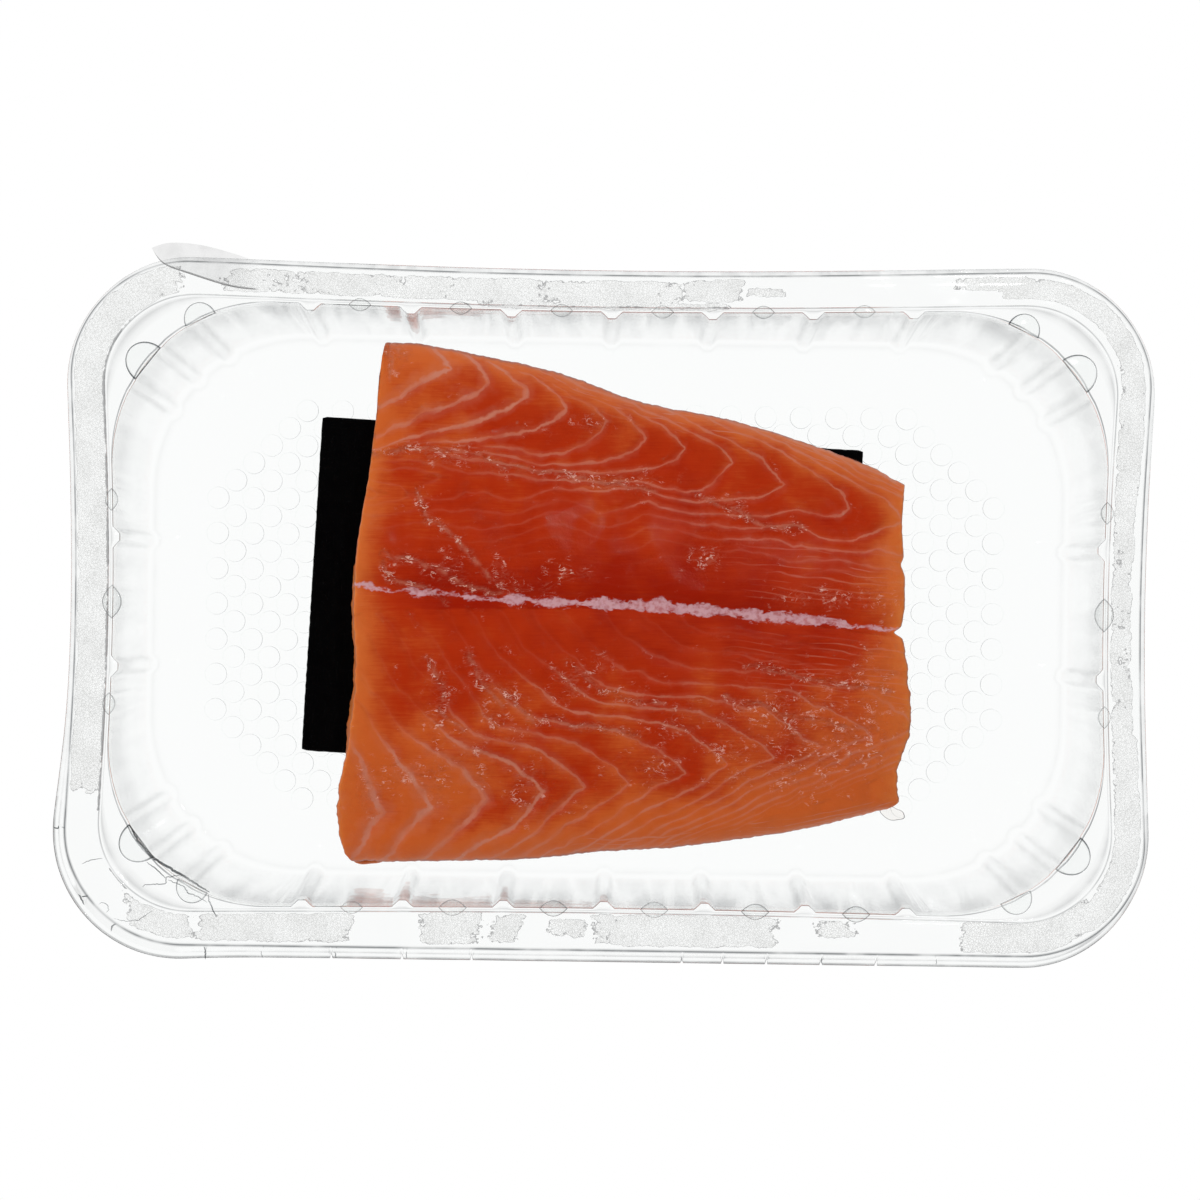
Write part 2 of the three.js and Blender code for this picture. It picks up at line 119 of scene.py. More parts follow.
class Ripple:
    """Smooth unevenness over a plane: a sum of sine waves in seeded directions."""

    def __init__(self, seed: int, size: float, waves: int = 9) -> None:
        """Draws the waves.

        Args:
            seed: the seed of the draw.
            size: typical length of a wave, in mm.
            waves: how many waves are summed.
        """
        draw = np.random.default_rng(seed)
        turn = draw.uniform(0, 2 * np.pi, waves)
        pace = 2 * np.pi / (size * draw.uniform(0.6, 1.7, waves))
        self.kx, self.ky = np.cos(turn) * pace, np.sin(turn) * pace
        self.phase = draw.uniform(0, 2 * np.pi, waves)

    def at(self, x: np.ndarray, y: np.ndarray) -> np.ndarray:
        """Height at each place, roughly -1 to 1: the mean of the sines times the root of their number.

        Args:
            x: places along X.
            y: places along Y, of the same shape.

        Returns:
            The heights.
        """
        angle = x[..., None] * self.kx + y[..., None] * self.ky + self.phase
        return np.sin(angle).sum(-1) / math.sqrt(len(self.kx)) * 0.8


# ---- meshes ----

def ring_faces(rings: int, count: int, first: int = 0) -> np.ndarray:
    """Quads between rings of count points each, ring after ring.

    Args:
        rings: number of rings.
        count: points on each ring.
        first: number of the first ring's first point.

    Returns:
        Four point numbers per quad.
    """
    ring = np.arange(rings - 1)[:, None] * count + first
    here = np.arange(count)[None, :]
    after = (here + 1) % count
    quads = np.stack([ring + here, ring + after, ring + count + after, ring + count + here], -1)
    return quads.reshape(-1, 4)


def grid_faces(rows: int, columns: int, first: int = 0) -> np.ndarray:
    """Quads of a grid whose points run along the columns, row after row.

    Args:
        rows: number of rows of points.
        columns: number of points in a row.
        first: number of the first point.

    Returns:
        Four point numbers per quad.
    """
    row = np.arange(rows - 1)[:, None] * columns + first
    here = np.arange(columns - 1)[None, :]
    quads = [row + here, row + here + 1, row + columns + here + 1, row + columns + here]
    return np.stack(quads, -1).reshape(-1, 4)


def fan(ring: np.ndarray, centre: int, flip: bool = False) -> np.ndarray:
    """Triangles from a loop of points to one point.

    Args:
        ring: the loop's point numbers.
        centre: the number of the point in its middle.
        flip: True turns the faces over.

    Returns:
        Three point numbers per triangle.
    """
    after = np.roll(ring, -1)
    parts = [after, ring] if flip else [ring, after]
    return np.stack([*parts, np.full(len(ring), centre)], -1)


def capped(rings: list[np.ndarray] | np.ndarray, start: list[float], end: list[float],
           flip: bool = False) -> tuple[np.ndarray, list[np.ndarray]]:
    """Closes a stack of rings by a fan to one point at each end.

    Args:
        rings: rings of equally many points, counter-clockwise from above if they go up.
        start: the point inside the first ring.
        end: the point inside the last ring.
        flip: True turns the faces over, for rings that go down.

    Returns:
        Points and faces of the closed shape.
    """
    rings = np.asarray(rings)
    number, count = rings.shape[:2]
    cloud = np.concatenate([rings.reshape(-1, 3), [start], [end]])
    quads = ring_faces(number, count)
    first, last = np.arange(count), (number - 1) * count + np.arange(count)
    faces = [quads[:, ::-1] if flip else quads, fan(first, len(cloud) - 2, not flip),
             fan(last, len(cloud) - 1, flip)]
    return cloud, faces


def turned(x: np.ndarray, y: np.ndarray, degrees: float) -> tuple[np.ndarray, np.ndarray]:
    """X and Y after a turn about Z, by the cosine and sine of the angle."""
    c, s = math.cos(math.radians(degrees)), math.sin(math.radians(degrees))
    return x * c - y * s, x * s + y * c


def make_piece(name: str, points: np.ndarray, faces: list[np.ndarray], material: bpy.types.Material,
               slot: Slot, marks: dict[str, np.ndarray] | None = None,
               second: tuple[bpy.types.Material, np.ndarray] | None = None) -> bpy.types.Object:
    """Makes one smooth-shaded piece that rides on the pack.

    Args:
        name: the piece's name.
        points: its points, in mm in the tray's frame.
        faces: arrays of triangles or quads as point numbers.
        material: its finish.
        slot: the kind of finish; pieces of the clear tray and of the film cast no shadow.
        marks: named numbers for each point, which its finish reads.
        second: a second finish, and True for each face that has it.

    Returns:
        The piece.
    """
    mesh = bpy.data.meshes.new(name)
    loops = np.concatenate([f.reshape(-1) for f in faces]).astype(np.int32)
    sizes = np.concatenate([np.full(len(f), f.shape[1]) for f in faces]).astype(np.int32)
    starts = np.concatenate([[0], np.cumsum(sizes)[:-1]]).astype(np.int32)
    mesh.vertices.add(len(points))
    mesh.loops.add(len(loops))
    mesh.polygons.add(len(sizes))
    placed = (np.asarray(points, dtype=float) + [0, TRAY_CENTRE_Y, 0]) * MM
    mesh.vertices.foreach_set("co", placed.astype(np.float32).reshape(-1))
    mesh.loops.foreach_set("vertex_index", loops)
    mesh.polygons.foreach_set("loop_start", starts)
    mesh.polygons.foreach_set("use_smooth", np.ones(len(sizes), dtype=bool))
    for mark, values in (marks or {}).items():
        layer = mesh.attributes.new(mark, "FLOAT", "POINT")
        layer.data.foreach_set("value", np.asarray(values, dtype=np.float32).reshape(-1))
    mesh.update(calc_edges=True)
    mesh.validate()
    mesh.materials.append(material)
    if second is not None:
        mesh.materials.append(second[0])
        mesh.polygons.foreach_set("material_index", second[1].astype(np.int32))
    piece = bpy.data.objects.new(name, mesh)
    bpy.context.scene.collection.objects.link(piece)
    piece.visible_shadow = slot not in (Slot.TRAY, Slot.FILM)
    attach(piece, "root")
    triangles = int((sizes - 2).sum())
    LOG.info("%s: %d points, %d triangles", name, len(points), triangles)
    return piece


# ---- finishes ----

class Value:
    """A number inside a finish, which the signs of arithmetic join to another by a Math node."""

    def __init__(self, weave: "Weave", socket: bpy.types.NodeSocket) -> None:
        """Keeps the finish that the number belongs to, and its socket."""
        self.weave, self.socket = weave, socket

    def __add__(self, other: object) -> "Value":
        """The sum."""
        return self.weave.math("ADD", self, other)

    def __sub__(self, other: object) -> "Value":
        """The difference."""
        return self.weave.math("SUBTRACT", self, other)

    def __mul__(self, other: object) -> "Value":
        """The product."""
        return self.weave.math("MULTIPLY", self, other)

    def __truediv__(self, other: object) -> "Value":
        """The quotient."""
        return self.weave.math("DIVIDE", self, other)


class Weave:
    """Builds a material's nodes in short steps, with places in mm."""

    def __init__(self, name: str) -> None:
        """Starts an empty material.

        Args:
            name: the material's name.
        """
        self.material = bpy.data.materials.new(name)
        self.material.use_nodes = True
        self.tree = self.material.node_tree
        self.tree.nodes.clear()
        self.output = self.tree.nodes.new("ShaderNodeOutputMaterial")
        coordinates = self.tree.nodes.new("ShaderNodeTexCoord")
        self.place = self.stretched((1000.0, 1000.0, 1000.0), coordinates.outputs["Object"])

    def put(self, target: bpy.types.NodeSocket, source: object) -> None:
        """Links a value or socket to a target, or sets the target to a number or colour."""
        source = getattr(source, "socket", source)
        if isinstance(source, bpy.types.NodeSocket):
            self.tree.links.new(source, target)
        elif source is not None:
            target.default_value = source

    def stretched(self, scale: tuple[float, float, float], source: bpy.types.NodeSocket = None,
                  turn: float = 0.0) -> bpy.types.NodeSocket:
        """Coordinates multiplied per axis, after a turn about Z.

        Args:
            scale: the factors.
            source: the coordinates, or None for the piece's own in mm.
            turn: degrees about Z.

        Returns:
            The new coordinates.
        """
        node = self.tree.nodes.new("ShaderNodeMapping")
        node.inputs["Scale"].default_value = scale
        node.inputs["Rotation"].default_value = (0.0, 0.0, math.radians(turn))
        self.put(node.inputs["Vector"], source or self.place)
        return node.outputs["Vector"]

    def mark(self, name: str) -> Value:
        """A number kept on the mesh's points."""
        node = self.tree.nodes.new("ShaderNodeAttribute")
        node.attribute_name = name
        return Value(self, node.outputs["Fac"])

    def axis(self, name: str) -> Value:
        """X, Y or Z of the piece's own place in mm."""
        node = self.tree.nodes.new("ShaderNodeSeparateXYZ")
        self.put(node.inputs[0], self.place)
        return Value(self, node.outputs[name])

    def point(self, x: Value, y: Value) -> bpy.types.NodeSocket:
        """Coordinates of two values, with 0 for the third."""
        node = self.tree.nodes.new("ShaderNodeCombineXYZ")
        self.put(node.inputs["X"], x)
        self.put(node.inputs["Y"], y)
        return node.outputs["Vector"]

    def fresnel(self, ior: float) -> Value:
        """The share of light that a surface of this refraction mirrors."""
        return Value(self, self.shader("ShaderNodeFresnel", IOR=ior).outputs[0])

    def facing(self) -> Value:
        """How far the surface turns away from the view: 0 square to it, 1 at its outline."""
        node = self.tree.nodes.new("ShaderNodeLayerWeight")
        node.inputs["Blend"].default_value = 0.5
        return Value(self, node.outputs["Facing"])

    def math(self, kind: str, first: object, second: object = None, clamp: bool = False) -> Value:
        """One step of arithmetic.

        Args:
            kind: Blender's name of the operation.
            first: number, value or socket.
            second: number, value or socket, if there is one.
            clamp: True keeps the result within 0 to 1.

        Returns:
            The result.
        """
        node = self.tree.nodes.new("ShaderNodeMath")
        node.operation = kind
        node.use_clamp = clamp
        for socket, item in zip(node.inputs, (first, second)):
            self.put(socket, item)
        return Value(self, node.outputs["Value"])

    def rise(self, value: Value, low: float, high: float, start: float = 0.0, end: float = 1.0) -> Value:
        """A smooth step of a value from start at low to end at high.

        Args:
            value: the value.
            low: where the step starts.
            high: where it ends.
            start: result at and before low.
            end: result at and after high.

        Returns:
            The result.
        """
        node = self.tree.nodes.new("ShaderNodeMapRange")
        node.interpolation_type = "SMOOTHSTEP"
        self.put(node.inputs["Value"], value)
        for name, item in (("From Min", low), ("From Max", high), ("To Min", start), ("To Max", end)):
            self.put(node.inputs[name], item)
        return Value(self, node.outputs["Result"])

    def noise(self, scale: float, detail: float = 2.0, place: bpy.types.NodeSocket = None,
              distortion: float = 0.0, roughness: float = 0.5) -> Value:
        """Cloudy unevenness, about 0.5 on average.

        Args:
            scale: clouds per mm.
            detail: finer layers on top.
            place: coordinates, or None for the piece's own in mm.
            distortion: how far the clouds are swirled.
            roughness: weight of the finer layers.

        Returns:
            The cloudiness, 0 to 1.
        """
        node = self.tree.nodes.new("ShaderNodeTexNoise")
        for name, item in (("Scale", scale), ("Detail", detail), ("Distortion", distortion),
                           ("Roughness", roughness)):
            node.inputs[name].default_value = item
        self.put(node.inputs["Vector"], place or self.place)
        return Value(self, node.outputs["Fac"])

    def cells(self, scale: float, feature: str = "F1") -> Value:
        """Distance within a pattern of irregular cells.

        Args:
            scale: cells per mm.
            feature: Blender's name of the distance.

        Returns:
            The distance.
        """
        node = self.tree.nodes.new("ShaderNodeTexVoronoi")
        node.feature = feature
        node.inputs["Scale"].default_value = scale
        self.put(node.inputs["Vector"], self.place)
        return Value(self, node.outputs["Distance"])

    def chance(self, number: Value) -> Value:
        """A fixed random value, 0 to 1, for each whole number."""
        node = self.tree.nodes.new("ShaderNodeTexWhiteNoise")
        node.noise_dimensions = "1D"
        self.put(node.inputs["W"], number)
        return Value(self, node.outputs["Value"])

    def mix(self, share: object, first: object, second: object) -> bpy.types.NodeSocket:
        """A blend of two colours.

        Args:
            share: 0 gives the first, 1 the second.
            first: colour or socket.
            second: colour or socket.

        Returns:
            The blend.
        """
        node = self.tree.nodes.new("ShaderNodeMix")
        node.data_type = "RGBA"
        for name, item in (("Factor_Float", share), ("A_Color", first), ("B_Color", second)):
            self.put(next(socket for socket in node.inputs if socket.identifier == name), item)
        return next(socket for socket in node.outputs if socket.identifier == "Result_Color")

    def bump(self, height: Value, distance: float, strength: float = 1.0) -> bpy.types.NodeSocket:
        """Fine relief that only the light sees.

        Args:
            height: the relief, 0 to 1.
            distance: its depth in mm.
            strength: how much of it shows.

        Returns:
            The bent normal.
        """
        node = self.tree.nodes.new("ShaderNodeBump")
        node.inputs["Distance"].default_value = distance * MM
        node.inputs["Strength"].default_value = strength
        self.put(node.inputs["Height"], height)
        return node.outputs["Normal"]

    def shader(self, kind: str, **inputs: object) -> bpy.types.Node:
        """A shader node with its inputs set or linked, where an underscore stands for a space."""
        node = self.tree.nodes.new(kind)
        for name, item in inputs.items():
            self.put(node.inputs[name.replace("_", " ")], item)
        return node

    def blend(self, share: object, first: bpy.types.Node, second: bpy.types.Node) -> bpy.types.Node:
        """A mix of two shaders, of which share takes the second."""
        node = self.tree.nodes.new("ShaderNodeMixShader")
        self.put(node.inputs[0], share)
        self.tree.links.new(first.outputs[0], node.inputs[1])
        self.tree.links.new(second.outputs[0], node.inputs[2])
        return node

    def done(self, surface: bpy.types.Node) -> bpy.types.Material:
        """Joins the finished shader to the output and gives the material."""
        self.tree.links.new(surface.outputs[0], self.output.inputs["Surface"])
        return self.material


@dataclass(frozen=True)
class WetFlesh:
    """Moist raw salmon: orange-red flakes between pale sheets, with a rough-edged white line."""

    deep: tuple = linear(158, 27, 4)
    middle: tuple = linear(180, 47, 12)
    light: tuple = linear(206, 94, 40)
    # Colour of the painted glow of light through the thin flesh at the edges.
    rim: tuple = linear(220, 124, 60)
    # Purple-grey of the edges: partly darker edge tissue, partly painted shade where the edge turns away.
    outline: tuple = linear(108, 68, 72)
    sheet: tuple = linear(204, 128, 104)
    white: tuple = linear(208, 160, 166)
    # Colour of the painted highlights on the wet flesh.
    glint: tuple = linear(244, 196, 180)
    # Painted shade in the folds of the wet, wrinkled flesh.
    dark: tuple = linear(138, 26, 8)
    # Colour of a painted reflection of the pale room on the wet flesh.
    veil: tuple = linear(170, 92, 76)

    def material(self) -> bpy.types.Material:
        """The flesh, from the marks that the fillet's mesh carries.

        Returns:
            The material. A pale sheet shows where the layer number is whole: the distance to it in mm is
            the folded number over its steepness.
        """
        w = Weave("wet_salmon_flesh")
        steep = w.math("MAXIMUM", w.mark("steep"), 0.01)
        wander = w.noise(0.22, 3.0) - 0.5
        tremble = w.noise(0.9, 2.0) - 0.5
        sway = wander * 2.0 + tremble * 0.55
        sway = sway * w.rise(steep, 0.1, 0.5, 1.0, 0.1)
        layer = steep * sway + w.mark("layer")
        folded = w.math("PINGPONG", layer + 40.0, 0.5)
        distance = folded / steep
        half = w.mark("sheet_half") * w.rise(w.noise(0.3, 2.0), 0.3, 0.7, 0.6, 1.35)
        share = distance / half
        sheet = w.rise(share, 1.5, 0.35)
        patchy = w.rise(w.noise(0.16, 2.0), 0.28, 0.62, 0.30, 1.0)
        nearest = w.math("ROUND", layer)
        patchy = patchy * (w.chance(nearest) * 0.4 + 0.7)
        sheet = w.math("MULTIPLY", sheet * w.mark("sheet_pale"), patchy, clamp=True)
        glow = w.rise(share, 5.0, 0.8) * (w.mark("sheet_pale") * 0.22)

        cloud = w.noise(0.07, 4.0)
        fibre = w.noise(1.0, 3.0, w.stretched((0.16, 2.1, 0.5), turn=4.0))
        fine = w.noise(1.0, 2.0, w.stretched((0.5, 6.0, 1.0), turn=4.0))
        tone = w.mark("tone") + (cloud - 0.5) * 1.15
        tone = tone + (fibre - 0.5) * 0.32
        tone = tone + (fine - 0.5) * 0.12
        # Painted shade of the flakes' relief: each flake darker beside the sheet on one side and lighter
        # towards the next.
        phase = w.math("FRACT", layer + 40.0) - 0.5
        tone = phase * w.mark("sheet_pale") * 0.32 + tone
        colour = w.mix(w.rise(tone, 0.0, 0.5), self.deep, self.middle)
        colour = w.mix(w.rise(tone, 0.45, 1.0), colour, self.light)
        # Painted glow of light through the thin edges, in the rim colour.
        colour = w.mix(w.mark("rim") * w.rise(w.noise(0.4, 3.0), 0.2, 0.75, 0.5, 1.0), colour, self.rim)
        crease = w.mark("crease") * w.rise(w.noise(0.35, 3.0), 0.38, 0.62, 0.05, 0.55)
        drift = w.noise(0.10, 3.0, w.stretched((0.35, 1.3, 1.0), turn=6.0))
        strip = w.mark("strip") * 0.62 + drift * 3.0
        thin = w.rise(w.math("PINGPONG", strip, 0.5), 0.15, 0.03)
        broken = w.rise(w.noise(0.22, 2.0, w.stretched((0.4, 1.4, 1.0))), 0.40, 0.62, 0.0, 0.9)
        thin = thin * broken * w.mark("streaks")
        crease = w.math("MAXIMUM", crease, thin)
        colour = w.mix(w.math("MAXIMUM", sheet + glow, crease, clamp=True), colour, self.sheet)
        # Dark contour at the edges: partly darker edge tissue, partly painted shade.
        outline = w.mark("outline") * w.rise(w.noise(0.5, 2.0), 0.2, 0.7, 0.4, 1.0)
        colour = w.mix(outline, colour, self.outline)

        drawn = w.stretched((0.55, 1.0, 1.0), turn=8.0)
        ragged = (w.noise(0.34, 2.0, drawn, 0.5) - 0.5) * 2.9
        spiky = (w.noise(0.95, 2.0, drawn, 1.2) - 0.5) * 2.3
        off = w.math("ABSOLUTE", w.mark("line") + (ragged + spiky))
        line = w.rise(off - w.mark("line_half"), 0.42, -0.3)
        colour = w.mix(line * w.rise(w.noise(0.8, 2.0), 0.25, 0.6, 0.45, 1.0), colour, self.white)

        # Painted reflection: a soft pinkish-grey sheen of the room, broken up by noise.
        colour = w.mix(w.mark("veil") * w.rise(w.noise(0.1, 3.0), 0.25, 0.7, 0.3, 1.0), colour, self.veil)
        # Painted light of the wet, wrinkled places: painted shade in the folds, a painted sheen along curling
        # lines, and small painted highlights on them.
        patch = (w.noise(0.2, 4.0, distortion=0.8) - 0.5) * 2.4 + w.mark("crumple")
        wet = w.rise(patch, 0.42, 1.1)
        slanted = w.stretched((0.5, 1.15, 1.0), turn=-30.0)
        curl = w.math("ABSOLUTE", w.noise(0.5, 4.0, slanted, 2.0, 0.52) - 0.5)
        fold_shade = w.rise(w.noise(0.36, 3.0, slanted, 1.2), 0.38, 0.62)
        # Painted shade in the folds.
        colour = w.mix(fold_shade * wet * 0.22, colour, self.dark)
        # Painted sheen beside the highlights.
        colour = w.mix(w.rise(curl, 0.07, 0.0) * wet * 0.24, colour, self.sheet)
        spot = w.rise(w.noise(0.5, 3.0), 0.50, 0.59)
        # Painted highlights: thin bright curls where the spots allow.
        glint = w.rise(curl, 0.032, 0.012) * spot * wet
        colour = w.mix(glint * 0.9, colour, self.glint)
        grain = w.noise(1.5, 3.0, distortion=0.6)
        normal = w.bump(grain * w.mark("crumple"), 0.5)
        flesh = w.shader("ShaderNodeBsdfPrincipled", Base_Color=colour, Roughness=0.5, Normal=normal,
                         Subsurface_Weight=0.1, Subsurface_Radius=(1.0, 0.25, 0.1),
                         Subsurface_Scale=0.002, Specular_IOR_Level=0.04, Coat_Weight=0.14,
                         Coat_Roughness=0.07, Coat_IOR=1.36, Coat_Normal=normal)
        return w.done(flesh)


@dataclass(frozen=True)
class ClearPlastic:
    """Clear formed sheet with frosted, crackled marks where the lid was sealed."""

    body: tuple = (0.985, 0.99, 0.988, 1.0)
    grey: tuple = (0.42, 0.43, 0.44, 1.0)
    bend: tuple = (0.13, 0.14, 0.15, 1.0)
    frost: tuple = (0.45, 0.45, 0.43, 1.0)
    torn: tuple = (0.16, 0.16, 0.17, 1.0)

    def material(self, name: str, shade: float, shine: float, seal: bool = False) -> bpy.types.Material:
        """The sheet.

        Args:
            name: the material's name.
            shade: how strong the painted grey shade is where the sheet turns steep.
            shine: share of the Fresnel gloss that shows.
            seal: True adds the marks of the seal where the mesh carries them.

        Returns:
            The material: see-through, glossy by Fresnel, with painted shade: greyer where the sheet turns
            steep, in streaks strongest near the wall tops and weaker on the short end walls, and dark along
            its bends.
        """
        w = Weave(name)
        height, out = w.axis("Z"), w.math("ABSOLUTE", w.axis("X"))
        rolled = w.point(w.mark("around"), height * 0.1)
        # Painted shade: grey streaks on the steep parts, from noise along the walls, rising towards the wall
        # tops and weaker on the short end walls.
        streak = w.rise(w.noise(0.20, 5.0, rolled, 0.6), 0.34, 0.70, 0.16, 0.85)
        streak = streak * w.rise(height, 12.0, 36.0, 0.22, 1.0) * w.rise(out, 96.0, 113.0, 1.15, 0.48)
        steep = w.math("POWER", w.rise(w.facing(), 0.25, 1.0), 1.6) * streak
        # Painted shade: dark lines along the sheet's bends and rib flanks, from the mesh's edge mark.
        bend = w.mark("edge") * w.rise(w.noise(0.11, 3.0), 0.3, 0.6, 0.45, 1.0)
        tint = w.mix(steep * shade, self.body, self.grey)
        tint = w.mix(bend, tint, self.bend)
        clear = w.shader("ShaderNodeBsdfTransparent", Color=tint)
        ripple = w.bump(w.noise(0.12, 1.0), 0.5, 0.5)
        gloss = w.shader("ShaderNodeBsdfGlossy", Color=(1, 1, 1, 1), Roughness=0.07, Normal=ripple)
        shown = w.rise(height, 1.5, 16.0, 0.2 * shine, shine)
        surface = w.blend(w.fresnel(1.3) * shown, clear, gloss)
        if seal:
            surface = self.sealed(w, surface)
        return w.done(surface)

    def sealed(self, w: Weave, surface: bpy.types.Node) -> bpy.types.Node:
        """Adds the frosted bands, broken up by noise, with crackle inside and a torn edge.

        Args:
            w: the material's nodes.
            surface: the clear sheet.

        Returns:
            The sheet with the marks.
        """
        blots = (w.noise(0.19, 4.0) - 0.5) * 1.5
        ragged = (w.noise(0.9, 3.0) - 0.5) * 0.7
        uneven = (blots + ragged) * w.rise(w.mark("seal"), 0.02, 0.3)
        cover = w.mark("seal") + uneven
        inside = w.rise(cover, 0.44, 0.52)
        crackle = w.rise(w.cells(1.7, "DISTANCE_TO_EDGE"), 0.01, 0.16, 1.0, 0.0)
        speck = w.rise(w.noise(3.4, 3.0), 0.48, 0.62)
        torn = w.rise(cover, 0.42, 0.46) * w.rise(cover, 0.54, 0.49)
        torn = torn * w.rise(w.noise(0.5, 3.0), 0.34, 0.5, 0.25, 0.8)
        fringe = w.mark("torn") + (ragged * 1.3 + blots)
        torn = w.math("MAXIMUM", torn, w.rise(fringe, 0.66, 0.92) * 0.8)
        density = crackle * 0.27 + speck * 0.16
        density = density + w.rise(w.noise(0.12, 2.0), 0.3, 0.7, 0.0, 0.11)
        density = density * inside
        density = w.math("MAXIMUM", density, torn * 0.85, clamp=True)
        colour = w.mix(torn, self.frost, self.torn)
        frost = w.shader("ShaderNodeBsdfPrincipled", Base_Color=colour, Roughness=0.6)
        return w.blend(density, surface, frost)


@dataclass(frozen=True)
class BlackNonwoven:
    """Matt black fibre pad with faint grey fibres and small damp glints."""

    colour: tuple = (0.0008, 0.0008, 0.0010, 1.0)
    fibre: tuple = (0.004, 0.004, 0.0044, 1.0)

    def material(self) -> bpy.types.Material:
        """The pad's cloth: long thin fibres in two directions over an even black."""
        w = Weave("black_nonwoven")
        first = w.noise(1.0, 2.0, w.stretched((0.35, 5.0, 1.0), turn=25.0))
        second = w.noise(1.0, 2.0, w.stretched((5.0, 0.4, 1.0), turn=12.0))
        hairs = w.rise(w.math("MAXIMUM", first, second), 0.62, 0.78)
        colour = w.mix(hairs, self.colour, self.fibre)
        dots = w.cells(0.55)
        relief = hairs + w.rise(dots, 0.1, 0.5)
        cloth = w.shader("ShaderNodeBsdfPrincipled", Base_Color=colour,
                         Roughness=w.rise(w.noise(0.3, 2.0), 0.3, 0.7, 0.55, 0.9),
                         Normal=w.bump(relief, 0.12, 0.6), Specular_IOR_Level=0.04)
        return w.done(cloth)


@dataclass(frozen=True)
class HazyFilm:
    """Thin lid film: clear, slightly hazy and creased."""

    clear: tuple = (1.0, 1.0, 1.0, 1.0)
    grey: tuple = (0.95, 0.95, 0.95, 1.0)
    milk: tuple = (0.30, 0.30, 0.30, 1.0)

    def material(self) -> bpy.types.Material:
        """The film: mostly see-through, with a milky haze along its creases."""
        w = Weave("hazy_lid_film")
        crease = w.rise(w.cells(0.11, "DISTANCE_TO_EDGE"), 0.0, 0.06, 1.0, 0.0)
        haze = w.rise(w.noise(0.25, 3.0), 0.35, 0.75)
        tint = w.mix(w.mark("fade"), self.clear, self.grey)
        clear = w.shader("ShaderNodeBsdfTransparent", Color=tint)
        milk = w.shader("ShaderNodeBsdfPrincipled", Base_Color=self.milk, Roughness=0.25,
                        Normal=w.bump(haze, 0.3))
        share = w.math("MAXIMUM", crease * 0.4, haze) * 0.06 + 0.03
        share = w.math("MAXIMUM", share * w.mark("fade"), w.mark("cut"), clamp=True)
        return w.done(w.blend(share, clear, milk))


@dataclass(frozen=True)
class MeatJuice:
    """A clear, faintly pink bead of juice."""

    body: tuple = (0.985, 0.975, 0.965, 1.0)
    rim: tuple = (0.42, 0.38, 0.36, 1.0)

    def material(self) -> bpy.types.Material:
        """Water-clear body with a strong gloss, greyer where it curves away."""
        w = Weave("clear_juice")
        tint = w.mix(w.rise(w.facing(), 0.45, 0.95), self.body, self.rim)
        clear = w.shader("ShaderNodeBsdfTransparent", Color=tint)
        gloss = w.shader("ShaderNodeBsdfGlossy", Color=(1, 1, 1, 1), Roughness=0.03)
        return w.done(w.blend(w.fresnel(1.33), clear, gloss))


# ---- the fillet ----

@dataclass
class Flakes:
    """Nested Vs of muscle that point right, on one side of the white line."""

    first: tuple[float, float]
    pitch: float
    slope: float
    curve: float
    behind: bool
    steps: list[tuple[float, float]]
    farthest: float = 420.0
    halvings: int = 24
    bends: list[tuple[float, float, float]] = field(default_factory=lambda: [
        (-10, 0.5, 0.55), (10, 1, 0.45), (20, 3, 0.30), (30, 6, 0.13), (40, 8.5, -0.04), (50, 9, -0.09),
        (60, 8.8, -0.10), (75, 7.4, -0.08), (90, 5.6, -0.08), (110, 4.4, -0.08), (160, 3, -0.05)])

    def tip(self, start: np.ndarray) -> np.ndarray:
        """Y of the Vs' points: the first point's, plus slope and curve times the distance from it."""
        return self.first[1] + self.slope * start + self.curve * start * start

    def arm(self, u: np.ndarray, start: np.ndarray, inner: np.ndarray) -> np.ndarray:
        """How far an arm has left the points' line, u mm to the left of its own point.

        Args:
            u: distance to the left of the V's point.
            start: distance of that point from the first V's.
            inner: True where the arm towards the white line is meant.

        Returns:
            The distance in Y. Each arm leaves its point steeply by an exponential and goes on as a line;
            before the white line it then turns steeply towards that line.
        """
        if self.behind:
            at, dip, lean = np.array(self.bends).T
            towards = np.interp(start, at, dip) * (1 - np.exp(-u / 6)) + np.interp(start, at, lean) * u
            away = 5.1 * (1 - np.exp(-u / 3.5)) + (0.40 + 0.13 * smoothstep(60, 100, start)) * u
        else:
            turn = (u - 11.0 - 0.5 * np.maximum(start, 0)) / 4.0
            towards = (9.6 + 5 * np.exp(-start / 15)) * (1 - np.exp(-u / 8.6)) + 0.1 * u
            towards = towards + 5.2 * np.logaddexp(0.0, turn)
            away = (0.38 + 0.72 * np.exp(-start / 60)) * u
        return np.where(inner, towards, away)

    def layer(self, x: np.ndarray, y: np.ndarray) -> tuple[np.ndarray, np.ndarray]:
        """The layer number at each place, whole on the pale sheets, found by halving.

        Args:
            x: places along X.
            y: places along Y.

        Returns:
            The layer numbers, and how far each layer's point is to the right.
        """
        side = 1.0 if self.behind else -1.0
        beyond = side * (y - self.tip(x - self.first[0]))
        inner, sign = beyond <= 0, np.where(beyond > 0, 1.0, -1.0)
        low, high = np.zeros_like(x), np.full_like(x, self.farthest)
        for _ in range(self.halvings):
            u = (low + high) / 2
            start = np.maximum(x + u - self.first[0], -20.0)
            reach = sign * side * (y - self.tip(x + u - self.first[0]))
            short = reach > self.arm(u, start, inner)
            low, high = np.where(short, u, low), np.where(short, high, u)
        number = (x + low - self.first[0]) / self.pitch
        at, layers = np.array(self.steps).T
        return np.interp(number, at, layers), low


